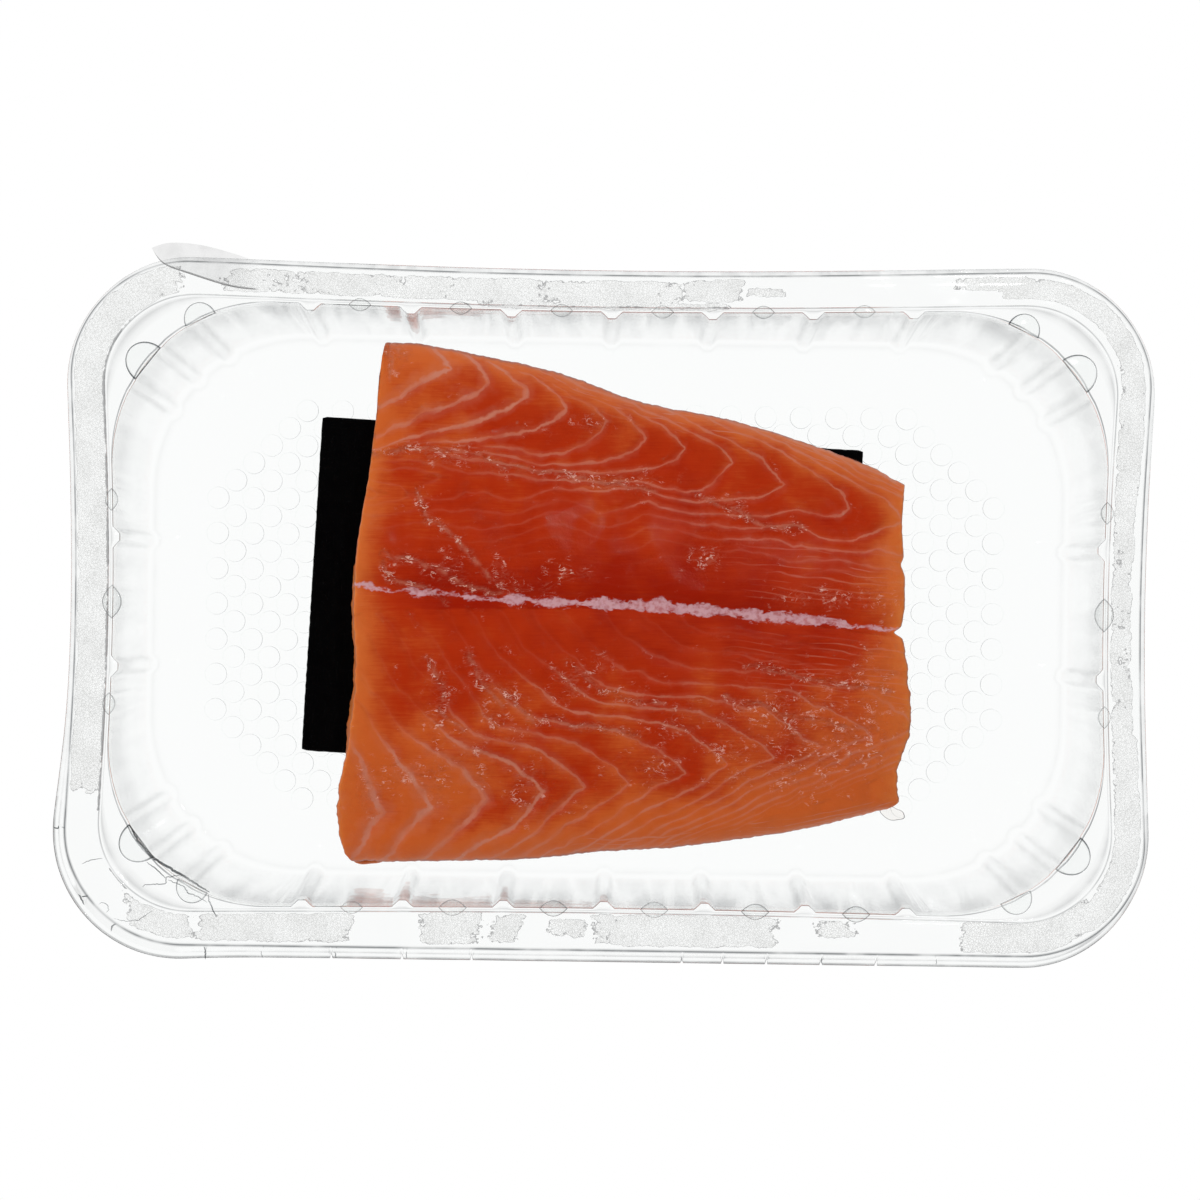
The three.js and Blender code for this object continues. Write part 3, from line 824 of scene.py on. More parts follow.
@dataclass
class Fillet:
    """The raw fillet: outline, crowned top, two knife cuts, and the pad's shape pressed in below."""

    thickness: float = 24.0
    tail_thin: float = 0.84
    edge_share: float = 0.60
    crown_power: float = 2.4
    side_round: float = 7.0
    cut_round: float = 1.8
    groove: float = 1.3
    groove_width: float = 3.2
    line_share: float = 0.53
    flake_depth: float = 0.55
    draw_in: float = 0.6
    clear_of_ribs: float = 1.5
    underside: float = 1.1
    pressed_top: float = 3.0
    across_steps: int = 250
    along_steps: int = 285
    span_along: float = 140.0
    span_across: float = 110.0
    edge_turns: tuple = (12, 24, 36, 48, 60, 72, 82, 90)
    side_turns: tuple = (3, 12, 25, 38, 51, 64, 77, 90)
    under_shares: tuple = (0.08, 0.2, 0.35, 0.5, 0.7)
    side_outline: float = 0.15
    wide: tuple = (Ripple(61, 24), Ripple(62, 25))
    small: tuple = (Ripple(63, 8), Ripple(64, 7))
    loose: Ripple = Ripple(65, 32)
    back: list = field(default_factory=lambda: [
        [-58.8, 67.4], [-51, 67.7], [-34.8, 65.1], [-13, 60.5], [7.8, 53.5], [33.9, 48.5], [64.7, 38.7],
        [76, 32.8]])
    front: list = field(default_factory=lambda: [
        [-66.6, -66.2], [-50.6, -66.1], [-21.3, -65.2], [-1.1, -63.0], [19.8, -61.4], [50.9, -56.6],
        [75.6, -50.1]])
    left: list = field(default_factory=lambda: [
        [-66.6, -66.2], [-68.2, -50], [-65.2, -33], [-63.8, -14], [-64.6, 2], [-63.2, 20], [-60.6, 38],
        [-58.8, 67.4]])
    right: list = field(default_factory=lambda: [
        [75.6, -50.1], [74.8, -41], [77.6, -29], [76.6, -14], [75, -4], [75.7, 6], [75, 22], [76, 32.8]])
    line: list = field(default_factory=lambda: [[-64.5, 4.9], [-24.2, 1.9], [23.8, -0.1], [74.6, -4.9]])
    knots: list = field(default_factory=lambda: [
        [-60.5, 3.0, 0.7, 0.0], [-47.5, 2.4, 1.0, -0.3], [-35.4, 1.8, 0.8, 0.2], [-24.3, 2.6, 1.2, -0.2],
        [-13.6, 3.8, 1.1, 0.1], [-0.7, 3.2, 1.3, -0.1], [8.0, 1.6, 0.8, 0.4], [12.9, 3.0, 1.1, 0.3],
        [18.5, 2.0, 0.7, -0.3], [24.8, 4.2, 1.0, 0.2], [35.9, 3.0, 0.9, -0.2], [43.0, 2.2, 0.6, 0.2],
        [50.6, 4.4, 0.8, 0.0], [60.0, 2.4, 0.5, 0.2], [68.0, 3.0, 0.3, 0.0]])
    # Spots of crumpled flesh, where painted glints and painted shade in the folds gather as well.
    crumple_glint_spots: list = field(default_factory=lambda: [
        [-42, 38, 9, 2.5], [-30, 36, 7, 2.5], [-38, 10, 9, 5], [-26, 6, 8, 4], [-14, 9, 8, 4],
        [-42, -24, 5, 8],
        [-27, -25, 6, 8], [-55, -43, 5, 5], [-44, -44, 6, 7], [-33, -40, 6, 6], [-20, -46, 8, 6],
        [12, -40, 8, 5], [36, -34, 15, 9], [52, -33, 17, 12], [64, -32, 10, 10], [-8, -18, 8, 6],
        [25, 14, 4, 4],
        [-4, 47, 9, 3], [58, 4, 14, 3.5], [66, -18, 7, 9], [-60, -46, 4, 7], [6, 33, 10, 2], [44, -24, 12, 5],
        [20, -28, 10, 5]])
    # Crease lines, drawn pale, with crumpled flesh and painted glints along them.
    creases: list = field(default_factory=lambda: [
        [(-57.5, 13.5), (-50.1, 11.3), (-42.7, 9.1), (-35.5, 4.7), (-27.4, 3.8)],
        [(-48.8, 29.1), (-45.4, 21.8), (-39.5, 17.8), (-33.8, 11.8), (-30.0, 6.8)],
        [(-63.4, 38.0), (-47.2, 40.0), (-35.5, 39.1), (-27.8, 36.0), (-17.2, 34.6), (-2.4, 32.0),
         (11.5, 30.2)],
        [(23.0, 29.1), (30.1, 26.6), (39.6, 21.4), (49.2, 21.1)],
        [(-45.4, -13.5), (-41.0, -21.3), (-42.2, -26.9), (-36.5, -31.4)],
        [(-25.8, -21.1), (-19.3, -28.1), (-6.6, -29.7), (8.6, -32.0)],
        [(-8.1, -15.2), (-1.7, -20.7), (6.0, -23.2), (14.8, -24.3)],
        [(-56.7, 11.5), (-54.8, 6.4), (-47.7, 5.0), (-41.3, 1.5)],
        [(-35, -12), (-31, -20), (-26, -25)], [(30, -22), (48, -27), (66, -30)],
        [(36, -14), (55, -18), (72, -20)],
        [(-58, 66), (-55.6, 62.4), (-56.8, 58.5)], [(-57, 66.4), (-52.5, 64.6)]])
    upper: Flakes = field(default_factory=lambda: Flakes(
        (-41.3, 60.7), 10.0, -0.335, 0.0, True,
        [(-20, -20), (6, 6), (7.3, 7), (8.5, 8), (10.3, 9), (11.6, 10), (111.6, 100)]))
    lower: Flakes = field(default_factory=lambda: Flakes(
        (-44.3, -51.4), 12.0, 0.115, 0.0005, False,
        [(-20, -20), (0, 0), (1.2, 1), (2.36, 2), (3.36, 3), (4.28, 4), (5.32, 5), (6.3, 6), (106.3, 106)]))

    def place(self, along: np.ndarray, across: np.ndarray) -> np.ndarray:
        """Place seen from above: a blend of front edge, white line and back edge, slid to meet the cuts.

        Args:
            along: 0 at the left cut to 1 at the right one.
            across: 0 at the front edge to 1 at the back one.

        Returns:
            X and Y in a last axis. The slide towards each cut fades with the cube of the distance.
        """
        behind = across > self.line_share
        share = np.where(behind, (across - self.line_share) / (1 - self.line_share),
                         1 - across / self.line_share)[..., None]

        def blended(at: np.ndarray) -> np.ndarray:
            """Point between the white line and the edge of the same side."""
            near = through(self.line, at)
            far = np.where(behind[..., None], through(self.back, at), through(self.front, at))
            return near + (far - near) * share

        to_left = through(self.left, across) - blended(np.zeros_like(along))
        to_right = through(self.right, across) - blended(np.ones_like(along))
        a = along[..., None]
        return blended(along) + to_left * (1 - a) ** 3 + to_right * a**3

    def marks(self, along: np.ndarray, across: np.ndarray, x: np.ndarray, y: np.ndarray) -> dict:
        """The numbers that the finish reads at each point.

        Args:
            along: share from left to right.
            across: share from front to back.
            x: places along X.
            y: places along Y.

        Returns:
            One array per mark: layer, steep, sheet_half and sheet_pale for the pale sheets, line and
            line_half for the white line, rim for a painted glow of light through the thin flesh at the edges,
            outline for the edges' purple-grey contour, partly darker edge tissue and partly painted shade,
            tone for the colour, the painted sheen mark for a painted reflection of the room, the crumple
            mark for real crumpling and for the places of painted glints and painted shade in its folds,
            crease for pale crease lines, strip and streaks for the thin layers beside the edges.
        """
        behind = across > self.line_share
        off = y - through(self.line, along)[..., 1]
        from_line = np.abs(off)
        upper_tip = self.upper.tip(x - self.upper.first[0])
        tip = np.where(behind, upper_tip, self.lower.tip(x - self.lower.first[0]))
        line, line_half = self.white_line(x, off)
        # Painted reflection of the room: a soft sheen along the white line towards the right and at the front
        # right, weaker on the line itself.
        veil = 0.045 * np.exp(-((off + 3) / 17) ** 2) * smoothstep(-45, 30, x)
        veil = veil + 0.06 * np.exp(-(((x - 50) / 22) ** 2) - ((y + 32) / 9) ** 2)
        veil = veil * (1 - 0.6 * np.exp(-((line / 3.0) ** 2)))
        ends = np.minimum(along, 1 - along) * self.span_along
        inward = np.minimum(across, 1 - across) * self.span_across
        edge, long_side = np.minimum(ends, inward), inward < ends
        # Painted glow of light through the thin flesh along its edges: narrow and strong at the cuts, wider
        # and weaker on the long edges, wider towards the right.
        rim = (0.7 - 0.4 * long_side) * np.exp(-((edge / 1.8) ** 2))
        deep = 0.36 + 0.2 * smoothstep(20, 60, x) - 0.22 * long_side
        rim = rim + deep * np.exp(-((edge / 8.0) ** 2))
        calm = smoothstep(22, 55, x) * smoothstep(3, 5, from_line) * smoothstep(24, 15, from_line)
        streaks = 0.8 * smoothstep(7.0, 4.5, inward) * smoothstep(0.4, 1.2, inward) * smoothstep(-30, 15, x)
        streaks = streaks + 0.42 * calm * smoothstep(9, 11, inward)
        # Thin dark contour where the top rounds over: partly darker edge tissue, partly painted shade.
        outline = 0.92 * np.exp(-((edge / 0.5) ** 2))
        return {**self.sheets(x, y, behind, from_line, tip), **self.wrinkles_and_glints(x, y),
                "line": line, "line_half": line_half, "rim": rim, "outline": outline,
                "tone": self.tones(along, inward, x, y, behind, from_line, tip), "veil": veil,
                "strip": np.where(inward < 9, inward, line), "streaks": streaks}

    def sheets(self, x: np.ndarray, y: np.ndarray, behind: np.ndarray, from_line: np.ndarray,
               tip: np.ndarray) -> dict:
        """The pale sheets between the flakes.

        Args:
            x: places along X.
            y: places along Y.
            behind: True behind the white line.
            from_line: distance from the white line.
            tip: Y of the line that the Vs' points lie on.

        Returns:
            Layer number and its steepness, and half width and paleness of the sheets: widest and palest
            near the Vs' points, thin where layers crowd, and faded beside the white line.
        """
        step = 0.3

        def layer(px: np.ndarray, py: np.ndarray) -> tuple[np.ndarray, np.ndarray]:
            """Layer number from the side's own Vs, at a place shifted by ripples."""
            mid = smoothstep(34, 27, py) * smoothstep(2, 10, py)
            sx = px + 0.9 * self.wide[0].at(px, py) + 0.35 * self.small[0].at(px, py)
            sy = py + 1.0 * self.wide[1].at(px, py) + 0.25 * self.small[1].at(px, py)
            sy = sy + mid * (6.0 * smoothstep(5, -50, px) + 2.0 * self.loose.at(px, py))
            upper, lower = self.upper.layer(sx, sy), self.lower.layer(sx, sy)
            return np.where(behind, upper[0], lower[0]), np.where(behind, upper[1], lower[1])

        number, past = layer(x, y)
        steep = np.hypot(layer(x + step, y)[0] - number, layer(x, y + step)[0] - number) / step
        near_tip = np.exp(-(((y - tip) / 16) ** 2)) * smoothstep(5, -55, x)
        inner = np.where(behind, y < tip, y > tip)
        half = 0.3 + 0.55 * near_tip * np.where(inner | ~behind, 1.0, 0.4)
        half = np.minimum(half, 0.16 / np.maximum(steep, 0.02))
        start = x + past - self.lower.first[0]
        over = past - 13 - 0.5 * np.maximum(start, 0)
        lasting = np.maximum(smoothstep(6, -4, over),
                             0.45 * smoothstep(35, 60, start) * smoothstep(30, 10, over))
        reach = np.where(behind, smoothstep(74, 40, past), lasting)
        floor = np.where(behind, 0.22, 0.10)
        pale = (0.50 + 0.47 * near_tip) * np.where(inner, floor + (1 - floor) * reach, 1.0)
        pale = pale * (0.45 + 0.55 * smoothstep(1.0, 0.4, steep)) * smoothstep(1.15, 0.75, steep)
        clear_of_line = np.where(behind, smoothstep(8, 22, from_line), smoothstep(8, 26, from_line))
        pale = pale * (0.12 + 0.88 * clear_of_line) * smoothstep(300, 200, past)
        pale = pale * np.where(behind, smoothstep(-0.75, -0.45, number), 1.0)
        return {"layer": number, "steep": steep, "sheet_half": half, "sheet_pale": pale}

    def white_line(self, x: np.ndarray, off: np.ndarray) -> tuple[np.ndarray, np.ndarray]:
        """The white line's shape: a thin line that swells and shifts at each knot by a rounded bump.

        Args:
            x: places along X.
            off: distance behind the line's curve.

        Returns:
            Distance behind the line itself, and the line's half width.
        """
        knots = np.array(self.knots)
        far = (x[..., None] - knots[:, 0]) / knots[:, 1]
        swell = np.exp(-np.abs(far) ** 1.7)
        half = 0.10 + 0.16 * smoothstep(-40, 0, x) + (swell * knots[:, 2]).max(-1)
        half = half + 0.32 * (smoothstep(-8, 8, x) * smoothstep(66, 40, x))
        return off - (swell * knots[:, 3]).sum(-1) + 0.25 * np.sin(x / 3.1), half

    def tones(self, along: np.ndarray, inward: np.ndarray, x: np.ndarray, y: np.ndarray,
              behind: np.ndarray, from_line: np.ndarray, tip: np.ndarray) -> np.ndarray:
        """Lightness of the flesh: lighter to the edges, which is a painted glow of light through the thin
        flesh, lighter to the front and the left, and deeper by the white line.

        Args:
            along: share from left to right.
            inward: distance in from the nearer long edge.
            x: places along X.
            y: places along Y.
            behind: True behind the white line.
            from_line: distance from the white line.
            tip: Y of the line that the Vs' points lie on.

        Returns:
            0 for the deepest flesh to about 1 for the lightest: a sum of bells and smooth steps.
        """
        left, right = along * self.span_along, (1 - along) * self.span_along
        # Lighter towards the cuts and the long edges: a painted glow of light through the thin flesh.
        tone = 0.50 + 0.75 * np.exp(-left / 9) + 0.6 * np.exp(-inward / 6)
        tone = tone + 0.10 * smoothstep(-10, -62, x) * smoothstep(5, 30, from_line) + 1.1 * np.exp(-right / 9)
        deeper = np.where(behind, 0.34, 0.12 + 0.10 * smoothstep(10, 50, x))
        tone = tone - deeper * np.exp(-((from_line / 17) ** 2)) * smoothstep(-62, -40, x)
        tone = tone - 0.10 * np.exp(-(((y - tip) / 12) ** 2)) + 0.28 * smoothstep(-20, -50, y)
        return tone + 0.20 * smoothstep(10, 50, x) * smoothstep(-14, -26, y)

    def wrinkles_and_glints(self, x: np.ndarray, y: np.ndarray) -> dict:
        """Where the flesh is crumpled, which also places its painted glints and the painted shade in its
        folds: a bell round each spot and crease; and the creases.

        Args:
            x: places along X.
            y: places along Y.

        Returns:
            The crumple mark, for real relief and for the painted light, and the crease mark.
        """
        spots = np.array(self.crumple_glint_spots)
        reach = (((x[..., None] - spots[:, 0]) / spots[:, 2]) ** 2
                 + ((y[..., None] - spots[:, 1]) / spots[:, 3]) ** 2) / 1.7
        away = self.from_creases(x + 0.5 * self.small[0].at(x, y), y + 0.5 * self.small[1].at(x, y))
        crumple = 0.14 + np.maximum(0.62 * np.exp(-reach).max(-1), 0.85 * np.exp(-((away / 1.7) ** 2)))
        return {"crumple": crumple, "crease": np.exp(-((away / 0.45) ** 2))}

    def from_creases(self, x: np.ndarray, y: np.ndarray) -> np.ndarray:
        """Distance to the nearest crease: to its straights, each from its start by a clipped share.

        Args:
            x: places along X.
            y: places along Y.

        Returns:
            The distance in mm.
        """
        starts = np.concatenate([np.array(line[:-1]) for line in self.creases])
        steps = np.concatenate([np.diff(np.array(line), axis=0) for line in self.creases])
        gap = np.stack([x, y], -1)[..., None, :] - starts
        share = np.clip((gap * steps).sum(-1) / (steps**2).sum(-1), 0, 1)
        return np.linalg.norm(gap - share[..., None] * steps, axis=-1).min(-1)

    def top(self, along: np.ndarray, across: np.ndarray) -> np.ndarray:
        """Height of the top face, less the rounding of its edges.

        Args:
            along: share from left to right.
            across: share from front to back.

        Returns:
            Heights: the crown falls with a power of the distance from the white line, the whole thins
            to the right, the white line lies in a groove, and each pale sheet in a shallow furrow.
        """
        span = np.where(across > self.line_share, 1 - self.line_share, self.line_share)
        crown = 1 - (1 - self.edge_share) * (np.abs(across - self.line_share) / span) ** self.crown_power
        taper = 1 - (1 - self.tail_thin) * smoothstep(0.1, 1.0, along)
        at = self.place(along, across)
        x, y = at[..., 0], at[..., 1]
        marks = self.marks(along, across, x, y)
        groove = self.groove * np.exp(-((marks["line"] / self.groove_width) ** 2))
        furrow = (0.5 + 0.5 * np.cos(2 * np.pi * marks["layer"])) ** 3
        wide = 1 - smoothstep(0.75, 1.25, marks["steep"] * 5)
        uneven = 0.28 * Ripple(3, 17).at(x, y) + 0.10 * Ripple(4, 5).at(x, y)
        rough = 0.07 * marks["crumple"] * Ripple(5, 1.9).at(x, y)
        groove = groove + 0.35 * marks["crease"]
        return self.thickness * crown * taper - groove - self.flake_depth * furrow * wide + uneven + rough

    def body(self) -> tuple[np.ndarray, list[np.ndarray], dict]:
        """The fillet's points, faces and marks.

        Returns:
            Points, faces and marks: a grid for the top, rings that round its edges down to the outline
            and in under it, and rings across the underside to one middle point.
        """
        na, nc = self.along_steps, self.across_steps
        rim_a, rim_c = self.cut_round / self.span_along, self.side_round / self.span_across
        a = rim_a + np.linspace(0, 1, na + 1) * (1 - 2 * rim_a)
        c = rim_c + np.linspace(0, 1, nc + 1) * (1 - 2 * rim_c)
        along, across = np.meshgrid(a, c)
        at = self.place(along, across)
        points = [np.concatenate([at, self.top(along, across)[..., None]], -1).reshape(-1, 3)]
        shares = [(along.reshape(-1), across.reshape(-1))]
        loop = np.concatenate([
            np.arange(na), np.arange(nc) * (na + 1) + na,
            nc * (na + 1) + np.arange(na, 0, -1), np.arange(nc, 0, -1) * (na + 1)])
        t = np.linspace(0, 1, na + 1)
        s = np.linspace(0, 1, nc + 1)
        edge_a = np.concatenate([t[:-1], np.ones(nc), t[:0:-1], np.zeros(nc)])
        edge_c = np.concatenate([np.zeros(na), s[:-1], np.ones(na), s[:0:-1]])
        on_side = (edge_c == 0) | (edge_c == 1)
        corner = np.minimum(edge_a, 1 - edge_a) * self.span_along
        growing = self.cut_round + (self.side_round - self.cut_round) * smoothstep(0, 9, corner)
        rounding = np.where(on_side, growing, self.cut_round)

        def squeezed(share: float) -> tuple[np.ndarray, np.ndarray]:
            """The loop drawn in by a share of the rounding."""
            return (share * rim_a + edge_a * (1 - 2 * share * rim_a),
                    share * rim_c + edge_c * (1 - 2 * share * rim_c))

        bottom = self.underside + self.clear_of_ribs * (
            1 - smoothstep(0, 0.14, np.minimum(edge_c, 1 - edge_c)))
        for turn in np.radians(self.edge_turns):
            share = 1 - math.sin(turn)
            ra, rc = squeezed(share)
            xy = self.place(ra, rc)
            z = self.top(ra, rc) - rounding * (1 - math.cos(turn))
            points.append(np.column_stack([xy, np.maximum(z, bottom + 2)]))
            shares.append((ra, rc))
        shoulder = points[-1][:, 2]
        cut = ~on_side
        slope = 2.3 * smoothstep(14, 4, shares[-1][0] * self.span_along)
        slope = slope * smoothstep(16, 4, np.abs(points[-1][:, 1] + 14) - 16)
        wave = Ripple(8, 7.0)
        fuzz = Ripple(9, 1.8)
        for turn in np.radians(self.side_turns):
            share = self.draw_in * (1 - math.cos(turn))
            ra, rc = squeezed(share)
            xy = self.place(ra, rc)
            z = shoulder + (bottom - shoulder) * math.sin(turn)
            wobble = np.where(cut, 0.28 * wave.at(xy[:, 1], z * 3) + 0.10 * fuzz.at(xy[:, 1], z), 0.0)
            outward = np.where(edge_a < 0.5, -1.0, 1.0) * wobble * math.sin(2 * turn)
            xy = xy + np.column_stack([outward - slope * math.sin(turn) * cut, np.zeros_like(outward)])
            points.append(np.column_stack([xy, z]))
            shares.append((ra, rc))
        foot = len(self.edge_turns) + len(self.side_turns)
        start = points[foot]
        for share in self.under_shares:
            xy = start[:, :2] * (1 - share)
            near = max(0.0, 1 - share / 0.2)
            z = self.underside + (start[:, 2] - self.underside) * near
            points.append(np.column_stack([xy, z]))
            shares.append((0.5 + (edge_a - 0.5) * (1 - share), 0.5 + (edge_c - 0.5) * (1 - share)))
        self.roughen(points, shares)
        for ring in points[foot:]:
            ring[:, 2] = np.maximum(ring[:, 2], self.pressed_top * self.over_pad(ring[:, 0], ring[:, 1]))
        points.append(np.array([[0.0, 0.0, self.pressed_top]]))
        shares.append((np.array([0.5]), np.array([0.5])))
        first = (na + 1) * (nc + 1)
        count = len(loop)
        rings = len(points) - 2
        faces = [grid_faces(nc + 1, na + 1)]
        faces.append(np.stack([loop, first + np.arange(count), first + np.roll(np.arange(count), -1),
                               np.roll(loop, -1)], -1))
        faces.append(ring_faces(rings, count, first)[:, ::-1])
        last = first + (rings - 1) * count + np.arange(count)
        faces.append(fan(last, first + rings * count, flip=True))
        cloud = np.concatenate(points)
        sa = np.concatenate([p[0] for p in shares])
        sc = np.concatenate([p[1] for p in shares])
        marks = self.marks(sa, sc, cloud[:, 0], cloud[:, 1])
        marks["outline"][first + len(self.edge_turns) * count:] *= self.side_outline
        return cloud, faces, marks

    def roughen(self, points: list[np.ndarray], shares: list[tuple[np.ndarray, np.ndarray]]) -> None:
        """Makes the outline uneven: ripples on both cuts and, weaker, on the long edges, a notch where
        the white line meets the right cut, rounder corners at the left, and a small tail at the front
        right, all fading within a few millimetres.

        Args:
            points: the fillet's points, changed in place.
            shares: along and across for the same points.
        """
        coarse, mid, fine = Ripple(11, 13.0), Ripple(12, 4.5), Ripple(13, 1.6)
        for ring, (along, across) in zip(points, shares):
            x, y = ring[:, 0].copy(), ring[:, 1].copy()
            from_left, from_right = along * self.span_along, (1 - along) * self.span_along
            from_front, from_back = across * self.span_across, (1 - across) * self.span_across
            left, right = np.exp(-((from_left / 2.6) ** 2)), np.exp(-((from_right / 2.6) ** 2))
            front, back = np.exp(-((from_front / 3.5) ** 2)), np.exp(-((from_back / 3.5) ** 2))
            rough = 0.35 + 0.65 * smoothstep(12, -20, y)
            ends = rough * (0.16 * mid.at(x * 0.2, y) + 0.12 * fine.at(x * 0.3, y))
            ends = 0.16 * coarse.at(x * 0.2, y) + ends
            sides = 0.12 * mid.at(x, y * 0.2) + 0.08 * fine.at(x, y * 0.3)
            front_left = 1.9 * np.exp(-(from_left + from_front) / 2.2)
            back_left = np.exp(-(((from_left + from_back) / 2.6) ** 2))
            tail = np.exp(-(((from_right + from_front) / 3.0) ** 2))
            notch = 1.9 * np.exp(-(((y + 5.2) / 1.1) ** 2)) + 0.8 * np.exp(-(((y - 12) / 1.5) ** 2))
            ring[:, 0] += ends * (left + right) - notch * right
            ring[:, 0] += front_left + 0.8 * back_left * left - 0.7 * tail
            ring[:, 1] += sides * (front + back)
            ring[:, 1] += 0.8 * front_left - 0.9 * back_left * back + 0.8 * tail

    def over_pad(self, x: np.ndarray, y: np.ndarray) -> np.ndarray:
        """1 over the pad and 0 beside it, from the distance to its turned rectangle."""
        u, v = turned(x - Pad.centre[0], y - Pad.centre[1], -Pad.turn)
        return (smoothstep(Pad.length / 2 + 1.2, Pad.length / 2 + 0.4, np.abs(u))
                * smoothstep(Pad.width / 2 + 1.2, Pad.width / 2 + 0.4, np.abs(v)))

    def build(self, material: bpy.types.Material) -> None:
        """Makes the fillet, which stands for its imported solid.

        Args:
            material: the flesh's finish.
        """
        points, faces, marks = self.body()
        piece = make_piece("salmon_fillet_flesh", points, faces, material, Slot.FLESH, marks)
        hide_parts("salmon_fillet")


# ---- the pad ----

@dataclass
class Pad:
    """The thin absorbent pad, with a rounded rim and a softly uneven face."""

    length: float = 141.0
    width: float = 87.0
    bottom: float = 1.1
    thickness: float = 1.6
    corner: float = 0.6
    centre: tuple[float, float] = (-6.6, 1.9)
    turn: float = -2.8

    def outline(self, inset: float, count: int) -> np.ndarray:
        """A rounded rectangle, evenly stepped by the angle of a super-ellipse of high power.

        Args:
            inset: how far in from the rim.
            count: number of points.

        Returns:
            X and Y of each point, before the pad's turn.
        """
        angle = np.linspace(0, 2 * np.pi, count, endpoint=False)
        c, s = np.cos(angle), np.sin(angle)
        half_x, half_y = self.length / 2 - inset, self.width / 2 - inset
        reach = 1 / np.maximum(np.abs(c) / half_x, np.abs(s) / half_y)
        x, y = reach * c, reach * s
        over_x = np.maximum(np.abs(x) - (half_x - self.corner), 0)
        over_y = np.maximum(np.abs(y) - (half_y - self.corner), 0)
        far = np.hypot(over_x, over_y)
        pull = np.where(far > self.corner, self.corner / np.maximum(far, 1e-6), 1.0)
        x = np.sign(x) * (np.abs(x) - over_x * (1 - pull))
        y = np.sign(y) * (np.abs(y) - over_y * (1 - pull))
        return np.column_stack([x, y])

    def build(self, material: bpy.types.Material) -> None:
        """Makes the pad: rings from the middle of its face over a rounded rim to its underside.

        Args:
            material: the pad's finish.
        """
        count = 560
        levels = [(24.0, 1.0), (12.0, 1.0), (6.0, 1.0), (3.0, 1.0), (1.5, 1.0), (0.7, 0.98), (0.3, 0.85),
                  (0.08, 0.6), (0.0, 0.35), (0.1, 0.1), (0.5, 0.0)]
        fray, quilt = Ripple(21, 2.2), Ripple(22, 9.0)
        rings = []
        for inset, height in levels:
            xy = self.outline(inset, count)
            near = math.exp(-inset / 0.8)
            xy = xy + 0.06 * near * fray.at(xy[:, 0], xy[:, 1])[:, None] * np.sign(xy)
            dip = 0.12 * (quilt.at(xy[:, 0], xy[:, 1]) - 1) * (height > 0.9)
            rings.append(np.column_stack([xy, self.bottom + self.thickness * height + dip]))
        cloud, faces = capped(rings, [0, 0, self.bottom + self.thickness - 0.1], [0, 0, self.bottom],
                              flip=True)
        x, y = turned(cloud[:, 0], cloud[:, 1], self.turn)
        cloud = np.column_stack([x + self.centre[0], y + self.centre[1], cloud[:, 2]])
        piece = make_piece("black_pad_cloth", cloud, faces, material, Slot.PAD)
        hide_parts("absorbent_pad")


# ---- the tray ----

class Level(IntEnum):
    """Columns of a profile level's numbers."""

    INSET = 0
    RADIUS = 1
    HEIGHT = 2
    RIB_IN = 3
    RIB_UP = 4
    FRONT_BOW = 5
    LIP = 6


class Side(Enum):
    """The tray's sides and corners."""

    FRONT = auto()
    BACK = auto()
    LEFT = auto()
    RIGHT = auto()
    FRONT_RIGHT = auto()
    BACK_RIGHT = auto()
    BACK_LEFT = auto()
    FRONT_LEFT = auto()


CORNERS = {Side.FRONT_RIGHT: (1, -1), Side.BACK_RIGHT: (1, 1), Side.BACK_LEFT: (-1, 1),
           Side.FRONT_LEFT: (-1, -1)}
TURNED = (Side.BACK, Side.LEFT, Side.FRONT_RIGHT, Side.BACK_LEFT)


@dataclass(frozen=True)
class SealPatch:
    """A patch of the lid's seal that is left on the flange: where it lies and how much shows."""

    side: Side
    low: float
    high: float
    near: float
    far: float
    share: float


